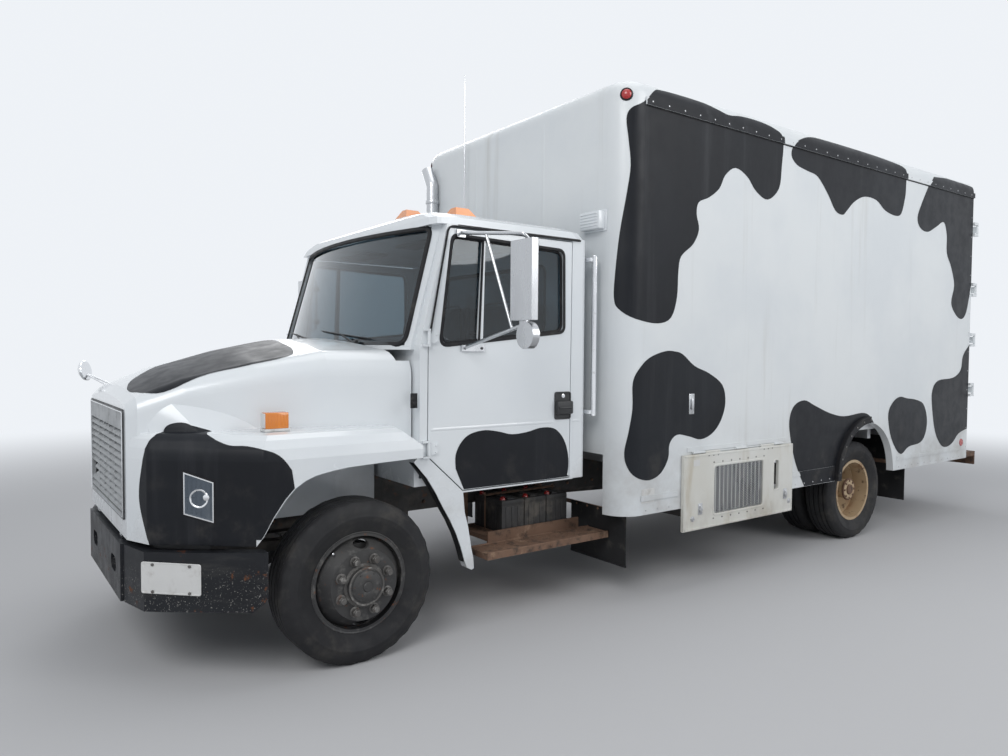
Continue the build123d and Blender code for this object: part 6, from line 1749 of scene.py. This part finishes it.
@dataclass
class Underside(Group):
    """Batteries, step, tank, stack and the fastenings of the chassis."""

    @piece(BATTERY_BLACK)
    def battery_lids(self, d: Draft) -> None:
        """Draw the batteries' lids, ribs and vent plugs."""
        for i in range(3):
            y = 1.080 + 0.180 * i
            d.slab((0.478, at(y - 0.002), 0.640), (0.782, at(y + 0.174), 0.672), 0.006)
            d.slab((0.500, at(y + 0.060), 0.668), (0.760, at(y + 0.112), 0.680), 0.004)
            for k in range(6):
                d.revolve([(0.0, 0.0), (0.0, 0.013), (0.004, 0.012), (0.005, 0.0)],
                          (0.523 + k * 0.043, at(y + 0.086), 0.679), (0, 0, 1), 12)
            for k in range(7):
                x = 0.505 + k * 0.042
                d.slab((x, at(y - 0.0035), 0.485), (x + 0.010, at(y + 0.0005), 0.630), 0.0015)
            for k in range(3):
                d.slab((0.7795, at(y + 0.030 + k * 0.045), 0.485), (0.7830, at(y + 0.050 + k * 0.045), 0.630), 0.001)

    @piece(RED_LENS)
    def battery_caps(self, d: Draft) -> None:
        """Draw the red terminal boots."""
        for i in range(3):
            y = at(1.080 + 0.180 * i)
            for x, z in ((0.516, 0.671), (0.744, 0.671)):
                d.revolve([(0.0, 0.0), (0.0, 0.019), (0.012, 0.017), (0.020, 0.011), (0.024, 0.0)],
                          (x, y + 0.030, z), (0, 0, 1), 16)

    @piece(RUSTY_STEEL)
    def battery_clamp(self, d: Draft) -> None:
        """Draw the hold-down bar over the batteries and its two rods."""
        d.slab((0.596, at(1.060), 0.684), (0.634, at(1.632), 0.692), 0.002)
        for y in (1.066, 1.626):
            d.rod((0.615, at(y), 0.466), (0.615, at(y), 0.704), 0.005, 10)
            d.bolts([(0.615, at(y), 0.692)], (0, 0, 1), 0.009, 0.008)

    @piece(RUSTY_STEEL)
    def step_treads(self, d: Draft) -> None:
        """Draw the step's rolled edges and raised grip cleats."""
        for x in (0.806, 0.994):
            d.rod((x, at(0.822), 0.4285), (x, at(1.783), 0.4285), 0.006, 10)
        for k in range(30):
            y = 0.848 + k * 0.0313
            for row in range(5):
                x = 0.832 + row * 0.034
                shift = 0.008 if (k + row) % 2 else -0.008
                d.rod((x - 0.009, at(y + shift), 0.4275), (x + 0.009, at(y - shift), 0.4275), 0.0035, 4)
        d.bolts([(1.0, at(y), 0.410) for y in (0.86, 1.30, 1.74)], (1, 0, 0), 0.009, 0.006)

    @piece(STAINLESS)
    def tank_straps(self, d: Draft) -> None:
        """Draw the two straps round the tank and the step on its side."""
        for y in (0.880, 1.380):
            path = [(-0.52, at(y), 0.7905), (-0.9455, at(y), 0.7905), (-0.9455, at(y), 0.4095), (-0.52, at(y), 0.4095)]
            points = spaced(rounded(path, 0.006, 3), 0.06)
            normals = [Vector((-1, 0, 0)) if p.x < -0.9440 else Vector((0, 0, 1 if p.z > 0.6 else -1)) for p in points]
            d.ribbon(points, normals, 0.044, 0.004, False)

    @piece(CHROME)
    def tank_cap(self, d: Draft) -> None:
        """Draw the tank's filler neck and cap."""
        d.revolve([(-0.002, 0.0), (-0.002, 0.052), (0.014, 0.050), (0.016, 0.058), (0.034, 0.058), (0.040, 0.050),
                   (0.042, 0.018), (0.048, 0.014), (0.048, 0.0)], (-0.86, at(1.13), 0.790), (0, 0, 1), 32)

    @piece(STAINLESS)
    def stack_clamps(self, d: Draft) -> None:
        """Draw the clamps round the stack."""
        for z in (0.92, 1.26, 2.52, 2.86):
            d.revolve([(-0.016, 0.0495), (-0.016, 0.054), (-0.012, 0.0565), (0.012, 0.0565), (0.016, 0.054),
                       (0.016, 0.0495)], (-1.0, at(1.625), z), (0, 0, 1), 36, True)
            d.rod((-1.052, at(1.610), z), (-1.052, at(1.640), z), 0.006, 8)

    @piece(STAINLESS)
    def stack_shield(self, d: Draft) -> None:
        """Draw the slotted heat shield round the stack's outer half."""
        for k in range(11):
            z = 1.34 + k * 0.105
            section = ((0.0, 0.058), (0.006, 0.0625), (0.084, 0.0625), (0.090, 0.058))
            d.lace([d.row((-1.0 - radius * math.cos(a), at(1.625) + radius * math.sin(a), z + height)
                          for a in (math.radians(-105 + 15 * i) for i in range(15)))
                    for height, radius in section], tube=False)
        for angle in (-100, -50, 0, 50, 100):
            a = math.radians(angle)
            x, y = -1.0 - 0.0565 * math.cos(a), at(1.625) + 0.0565 * math.sin(a)
            d.rod((x, y, 1.34), (x, y, 2.48), 0.003, 6)

    @piece(RUSTY_STEEL, CHASSIS_SIDES)
    def rail_bolts(self, d: Draft) -> None:
        """Draw the bolt rows on the outer face of the left rail."""
        spots = [(0.432, at(-0.72 + k * 0.24), z) for k in range(29) if not 0.9 < 0.24 * k - 0.72 < 1.75
                 for z in (0.655, 0.815)]
        d.bolts(spots, (1, 0, 0), 0.011, 0.009)

    @piece(BLACK_RUBBER, CHASSIS_SIDES)
    def splash_flap(self, d: Draft) -> None:
        """Draw the left rubber sheet that hangs behind the step, with its stiff lower hem."""
        d.slab((0.62, at(1.794), 0.225), (1.150, at(1.799), 0.575), 0.002)
        d.slab((0.62, at(1.791), 0.220), (1.150, at(1.802), 0.236), 0.003)

    @piece(RUSTY_STEEL, CHASSIS_SIDES)
    def splash_bar(self, d: Draft) -> None:
        """Draw the bar that the left sheet hangs from, its arm to the rail and its bolts."""
        d.slab((0.405, at(1.799), 0.550), (1.155, at(1.807), 0.578), 0.002)
        d.slab((0.400, at(1.799), 0.550), (0.440, at(1.807), 0.608), 0.002)
        d.bolts([(0.68 + 0.105 * k, at(1.794), 0.563) for k in range(5)], (0, -1, 0), 0.008, 0.006)

    @piece(DARK_PLASTIC)
    def antenna_base(self, d: Draft) -> None:
        """Draw the antenna's foot and spring."""
        d.revolve([(0.0, 0.0), (0.0, 0.020), (0.020, 0.018), (0.045, 0.009), (0.050, 0.0)],
                  (-0.48, at(1.61), 2.240), (0, 0, 1), 20)
        for k in range(9):
            d.revolve([(-0.002, 0.005), (-0.002, 0.0075), (0.002, 0.0075), (0.002, 0.005)],
                      (-0.48, at(1.61), 2.296 + k * 0.006), (0, 0, 1), 16, True)


@dataclass
class Interior(Group):
    """The cab's seats, controls and trim, seen through the glass.

    seats: X of each seat's middle and its half width. voxel, swell: the padding's remesh size and greatest swelling.
    fill: how full the padding is said to be; it is not used.
    """

    seats: tuple[Point2, ...] = ((0.420, 0.240), (-0.370, 0.290))
    floor: float = 0.905
    voxel: float = 0.009
    swell: float = 0.014
    fill: float = 0.7

    def build(self) -> None:
        """Build the inside of the cab."""
        super().build()
        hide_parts("seats")
        for (x, half), word in zip(self.seats, ("driver", "mate")):
            self.pad(f"seat_cushion_{word}", (x - half + 0.022, 0.925, 1.150), (x + half - 0.022, 1.330, 1.292))
            self.pad(f"seat_back_{word}", (x - half + 0.022, 1.288, 1.325), (x + half - 0.022, 1.398, 1.930))

    @piece(TRIM_GREY)
    def seat_bases(self, d: Draft) -> None:
        """Draw the seat boxes and the shells behind the backs."""
        for x, half in self.seats:
            d.slab((x - half + 0.03, at(0.930), self.floor), (x + half - 0.03, at(1.400), 1.100), 0.018)
            d.slab((x - half + 0.008, at(0.910), 1.095), (x + half - 0.008, at(1.415), 1.155), 0.020)
            d.slab((x - half + 0.014, at(1.392), 1.150), (x + half - 0.014, at(1.418), 1.925), 0.012)
            d.rod((x + half - 0.012, at(1.30), 1.15), (x + half - 0.012, at(1.37), 1.30), 0.010, 10)

    def pad(self, name: str, low: Point3, high: Point3) -> None:
        """Build one stuffed cushion by a short cloth simulation.

        Args:
            name: the piece's name.
            low: its lowest corner as X, place and height.
            high: its highest corner.
        """
        d = Draft()
        d.slab((low[0], at(low[1]), low[2]), (high[0], at(high[1]), high[2]), 0.035, 4)
        item = new_object(name, d.mesh(name), SEAT_CLOTH)
        remesh = item.modifiers.new("remesh", "REMESH")
        remesh.mode = "VOXEL"
        remesh.voxel_size = self.voxel
        self.apply(item)
        self.inflate(item)
        spread = item.modifiers.new("soften", "SUBSURF")
        spread.levels = spread.render_levels = 1
        self.apply(item)
        item.data.shade_smooth()
        settle(item, SEAT_CLOTH, Body.CHASSIS)

    def inflate(self, item: bpy.types.Object) -> None:
        """Blow a cushion up as cloth, and hold every point within the greatest swelling."""
        before = [v.co.copy() for v in item.data.vertices]
        cloth = item.modifiers.new("cloth", "CLOTH")
        cloth.settings.use_pressure = True
        cloth.settings.uniform_pressure_force = 4.0
        cloth.settings.effector_weights.gravity = 0.0
        scene = bpy.context.scene
        for frame in range(1, 21):
            scene.frame_set(frame)
        self.apply(item)
        for vert, start in zip(item.data.vertices, before):
            move = vert.co - start
            if move.length > self.swell:
                vert.co = start + move.normalized() * self.swell
        scene.frame_set(1)

    @staticmethod
    def apply(item: bpy.types.Object) -> None:
        """Turn a piece's modifiers into its mesh."""
        graph = bpy.context.evaluated_depsgraph_get()
        graph.update()
        mesh = bpy.data.meshes.new_from_object(item.evaluated_get(graph))
        item.modifiers.clear()
        item.data = mesh

    @piece(BLACK_RUBBER)
    def seat_seams(self, d: Draft) -> None:
        """Draw the piping along the cushions' front edges and the backs' sides."""
        for x, half in self.seats:
            wide = half - 0.030
            path = [(x - wide, at(1.300), 1.222), (x - wide, at(0.916), 1.222), (x + wide, at(0.916), 1.222),
                    (x + wide, at(1.300), 1.222)]
            d.sweep(path, 0.005, 0.045, 8)
            back = [(x - wide, at(1.342), 1.340), (x - wide, at(1.342), 1.935), (x + wide, at(1.342), 1.935),
                    (x + wide, at(1.342), 1.340)]
            d.sweep(back, 0.005, 0.050, 8)

    @piece(DARK_PLASTIC)
    def steering_rim(self, d: Draft) -> None:
        """Draw the steering wheel's round rim, its hub and the stalk."""
        middle = Vector((0.420, at(0.770), 1.600)) + Vector((0.0, 0.76, 0.65)) * 0.012
        way = Vector((0.0, 0.76, 0.65)).normalized()
        ring = [(0.0195 * math.sin(a), 0.211 + 0.0195 * math.cos(a)) for a in (2 * math.pi * k / 12 for k in range(12))]
        d.revolve(ring, middle, way, 64, True)
        d.revolve([(-0.03, 0.0), (-0.03, 0.045), (0.0, 0.070), (0.020, 0.066), (0.032, 0.045), (0.036, 0.0)], middle,
                  way, 32)
        d.rod((0.420, at(0.66), 1.515), (0.250, at(0.700), 1.540), 0.007, 10)

    @piece(TRIM_GREY)
    def instrument_hood(self, d: Draft) -> None:
        """Draw the instrument hood, the panel joints and the vents of the dashboard."""
        d.slab((0.190, at(0.535), 1.548), (0.650, at(0.634), 1.640), 0.030, 4)
        d.slab((0.205, at(0.600), 1.400), (0.635, at(0.632), 1.555), 0.012)
        for x in (-0.72, -0.30, 0.06, 0.76):
            d.slab((x - 0.070, at(0.612), 1.470), (x + 0.070, at(0.626), 1.530), 0.006)
            for k in range(5):
                d.slab((x - 0.060, at(0.624), 1.477 + k * 0.010), (x + 0.060, at(0.630), 1.481 + k * 0.010), 0.001)
        d.slab((-0.860, at(0.604), 1.340), (-0.180, at(0.628), 1.452), 0.012)

    @piece(CHROME)
    def instrument_glass(self, d: Draft) -> None:
        """Draw the rims of the gauges."""
        gauges = ((0.345, 1.585, 0.042), (0.495, 1.585, 0.042), (0.262, 1.580, 0.024), (0.578, 1.580, 0.024))
        for x, z, radius in gauges:
            d.revolve([(0.0, radius - 0.006), (0.0, radius), (0.005, radius), (0.006, radius - 0.003),
                       (0.004, radius - 0.006)], (x, at(0.633), z), (0, 1, 0), 32, True)

    @piece(DARK_PLASTIC)
    def controls(self, d: Draft) -> None:
        """Draw the gear lever, the pedals and the park brake's knob."""
        d.sweep([(0.02, at(0.80), self.floor), (0.03, at(0.84), 1.10), (0.06, at(0.98), 1.36)], 0.009, 0.06, 10)
        d.revolve([(-0.030, 0.0), (-0.028, 0.012), (-0.010, 0.024), (0.008, 0.026), (0.022, 0.016), (0.026, 0.0)],
                  (0.062, at(0.990), 1.375), (0.07, 0.4, 0.9), 20)
        d.revolve([(0.0, 0.0), (0.0, 0.075), (0.030, 0.060), (0.060, 0.025), (0.075, 0.012), (0.075, 0.0)],
                  (0.02, at(0.80), self.floor), (0.05, 0.1, 1.0), 24)
        for x, wide in ((0.56, 0.028), (0.42, 0.045), (0.29, 0.035)):
            d.slab((x - wide, at(0.520), 1.000), (x + wide, at(0.536), 1.080), 0.006)
            d.rod((x, at(0.522), 1.060), (x, at(0.460), 1.260), 0.007, 8)

    @piece(BLACK_RUBBER)
    def floor_mat(self, d: Draft) -> None:
        """Draw the ribbed floor mat."""
        d.slab((-0.860, at(0.480), self.floor), (0.860, at(0.890), self.floor + 0.010), 0.004)
        for k in range(24):
            y = 0.495 + k * 0.0165
            d.slab((-0.845, at(y), self.floor + 0.009), (0.845, at(y + 0.007), self.floor + 0.013), 0.001)

    @piece(TRIM_GREY)
    def sun_visors(self, d: Draft) -> None:
        """Draw the two sun visors under the roof."""
        for x in (0.42, -0.42):
            d.slab((x - 0.230, at(0.640), 2.262), (x + 0.230, at(0.800), 2.282), 0.009)
            d.rod((x - 0.250, at(0.650), 2.274), (x + 0.250, at(0.650), 2.274), 0.006, 8)


@dataclass
class Studio:
    """Floor, lamps, world and the camera at the photograph's view.

    place, yaw, pitch, roll: where the camera stands and how it is turned. focal, frame_width: its focal length and
    the photograph's width in pixels. sensor: its width in millimetres.
    """

    place: Point3 = (4.519, -4.557, 1.612)
    yaw: float = math.radians(143.804)
    pitch: float = math.radians(2.113)
    roll: float = math.radians(0.397)
    focal: float = 747.7
    frame_width: float = 1008.0
    sensor: float = 36.0

    def build(self) -> None:
        """Build the floor, the lamps, the world and the camera."""
        self.floor()
        self.world()
        self.lamps()
        self.camera()
        bpy.context.scene.view_settings.view_transform = "Standard"

    def camera(self) -> None:
        """Place the camera where the photograph was taken from."""
        way = Vector((math.cos(self.yaw) * math.cos(self.pitch), math.sin(self.yaw) * math.cos(self.pitch),
                      -math.sin(self.pitch)))
        right = way.cross(Vector((0.0, 0.0, 1.0))).normalized()
        up = right.cross(way)
        turned_right = math.cos(self.roll) * right + math.sin(self.roll) * up
        turned_up = -math.sin(self.roll) * right + math.cos(self.roll) * up
        data = bpy.data.cameras.new("photo_camera")
        data.sensor_width = self.sensor
        data.lens = self.focal * self.sensor / self.frame_width
        camera = bpy.data.objects.new("photo_camera", data)
        axes = Matrix((turned_right, turned_up, -way)).transposed().to_4x4()
        camera.matrix_world = Matrix.Translation(self.place) @ axes
        bpy.context.scene.collection.objects.link(camera)
        bpy.context.scene.camera = camera

    def floor(self) -> None:
        """Lay the pale floor."""
        d = Draft()
        bmesh.ops.create_grid(d.bm, x_segments=1, y_segments=1, size=60.0)
        new_object("floor", d.mesh("floor"), StageFinish("floor_pale", (0.55, 0.55, 0.56)), False)

    def world(self) -> None:
        """Light the scene evenly from all round, and show the background white."""
        world = bpy.data.worlds.new("studio")
        world.use_nodes = True
        tree = world.node_tree
        tree.nodes.clear()
        out = tree.nodes.new("ShaderNodeOutputWorld")
        paths = tree.nodes.new("ShaderNodeLightPath")
        soft = tree.nodes.new("ShaderNodeBackground")
        soft.inputs["Color"].default_value = (0.80, 0.86, 0.93, 1.0)
        soft.inputs["Strength"].default_value = 0.34
        pale = tree.nodes.new("ShaderNodeBackground")
        pale.inputs["Color"].default_value = (*BACKDROP, 1.0)
        pale.inputs["Strength"].default_value = 1.0
        either = tree.nodes.new("ShaderNodeMath")
        either.operation = "MAXIMUM"
        most = tree.nodes.new("ShaderNodeMath")
        most.operation = "MAXIMUM"
        mix = tree.nodes.new("ShaderNodeMixShader")
        tree.links.new(paths.outputs["Is Camera Ray"], either.inputs[0])
        tree.links.new(paths.outputs["Is Glossy Ray"], either.inputs[1])
        tree.links.new(either.outputs[0], most.inputs[0])
        tree.links.new(paths.outputs["Is Transmission Ray"], most.inputs[1])
        tree.links.new(most.outputs[0], mix.inputs[0])
        tree.links.new(soft.outputs[0], mix.inputs[1])
        tree.links.new(pale.outputs[0], mix.inputs[2])
        tree.links.new(mix.outputs[0], out.inputs["Surface"])
        bpy.context.scene.world = world

    def lamps(self) -> None:
        """Hang a big soft lamp on each side and one overhead."""
        for name, place, power, size in (
            ("key", (6.0, -9.0, 8.0), 480.0, 6.0),
            ("side", (9.0, 3.0, 6.0), 330.0, 6.0),
            ("far", (-9.0, 2.0, 7.0), 280.0, 7.0),
            ("overhead", (0.0, 0.0, 10.0), 215.0, 8.0),
        ):
            data = bpy.data.lights.new(name, "AREA")
            data.shape = "DISK"
            data.energy = power
            data.size = size
            lamp = bpy.data.objects.new(name, data)
            lamp.location = place
            aim = Vector((0.0, 0.0, 1.2)) - Vector(place)
            lamp.rotation_euler = aim.to_track_quat("-Z", "Y").to_euler()
            bpy.context.scene.collection.objects.link(lamp)


@dataclass(frozen=True)
class StageFinish:
    """The floor's finish: it keeps the shadow near the truck, and looks pale to the camera.

    fade: distances from the middle where it starts to turn into the backdrop's colour, and has turned.
    """

    name: str
    colour: Point3
    fade: Point2 = (5.5, 13.0)

    def make(self) -> bpy.types.Material:
        """Build the floor's material.

        Returns:
            The material.
        """
        n = Nodes(self.name)
        n.set(Roughness=0.9, Base_Color=(*self.colour, 1.0))
        far = n.add("ShaderNodeVectorMath", operation="LENGTH")
        n.feed(far.inputs[0], n.place)
        glow = n.add("ShaderNodeEmission")
        glow.inputs["Color"].default_value = (*BACKDROP, 1.0)
        either = n.add("ShaderNodeMixShader")
        n.feed(either.inputs[0], n.ramp(far.outputs["Value"], *self.fade))
        n.tree.links.new(n.shader.outputs[0], either.inputs[1])
        n.tree.links.new(glow.outputs[0], either.inputs[2])
        n.tree.links.new(either.outputs[0], n.output.inputs["Surface"])
        return n.material


NODE_FINISHES = (
    (FRAME_BLACK, "chassis_frame front_axle rear_axle drive_shaft knuckle_left knuckle_right tie_rod"),
    (BUMPER_BLACK, "front_bumper"),
    (CAST_IRON, "engine_block cooling_unit"),
    (DARK_PLASTIC, "radiator"),
    (ALUMINIUM, "fuel_tank box_floor"),
    (RUSTY_STEEL, "battery_step rear_step"),
    (BATTERY_BLACK, "batteries"),
    (STAINLESS, "exhaust_stack antenna mirror_left mirror_right"),
    (CAB_WHITE, "cab_floor cab_back cab_roof cab_sides windscreen_frame hood door_left door_right"),
    (CAB_GLASS, "cab_glass door_glass_left door_glass_right"),
    (TRIM_GREY, "dashboard"),
    (SEAT_CLOTH, "seats"),
    (AMBER_LENS, "roof_lamps"),
    (BOX_WHITE, "box_front_wall box_side_left box_side_right box_roof rear_frame rear_door_left "
     "rear_door_right"),
    (BLACK_RUBBER, "flares mud_flaps"),
    (CHROME, "grab_bars"),
    (GRILLE_GREY, "grille"),
    (CLEAR_LENS, "hood_lamps"),
    (HATCH_WHITE, "access_door"),
    (WHEEL_BLACK, "wheel_front_left wheel_front_right"),
    (WHEEL_CREAM, "wheels_rear_left wheels_rear_right"),
    (TYRE_RUBBER, "tyre_front_left tyre_front_right tyres_rear_left tyres_rear_right"),
    (RED_LENS, "tail_lamps"),
)


def dress_nodes(nodes: dict[str, bpy.types.Object]) -> None:
    """Give every CAD node its finish.

    Args:
        nodes: the frame's nodes by name.
    """
    for finish, names in NODE_FINISHES:
        for name in names.split():
            nodes[name].data.materials.clear()
            nodes[name].data.materials.append(finish.make())


def main() -> None:
    """Load the frame and build every sub-assembly."""
    logging.basicConfig(level=logging.INFO, format="%(message)s")
    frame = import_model()
    nodes = frame["nodes"]
    dress_nodes(nodes)
    cargo = CargoBody()
    parts = (cargo, CargoFittings(cargo), AccessDoor(), Rear(), Nose(nodes), Cab(nodes), Wheels(), Underside(),
             Interior(), Studio())
    for part in parts:
        part.build()
        LOG.info("built %s", type(part).__name__)


if __name__ == "__main__":
    main()
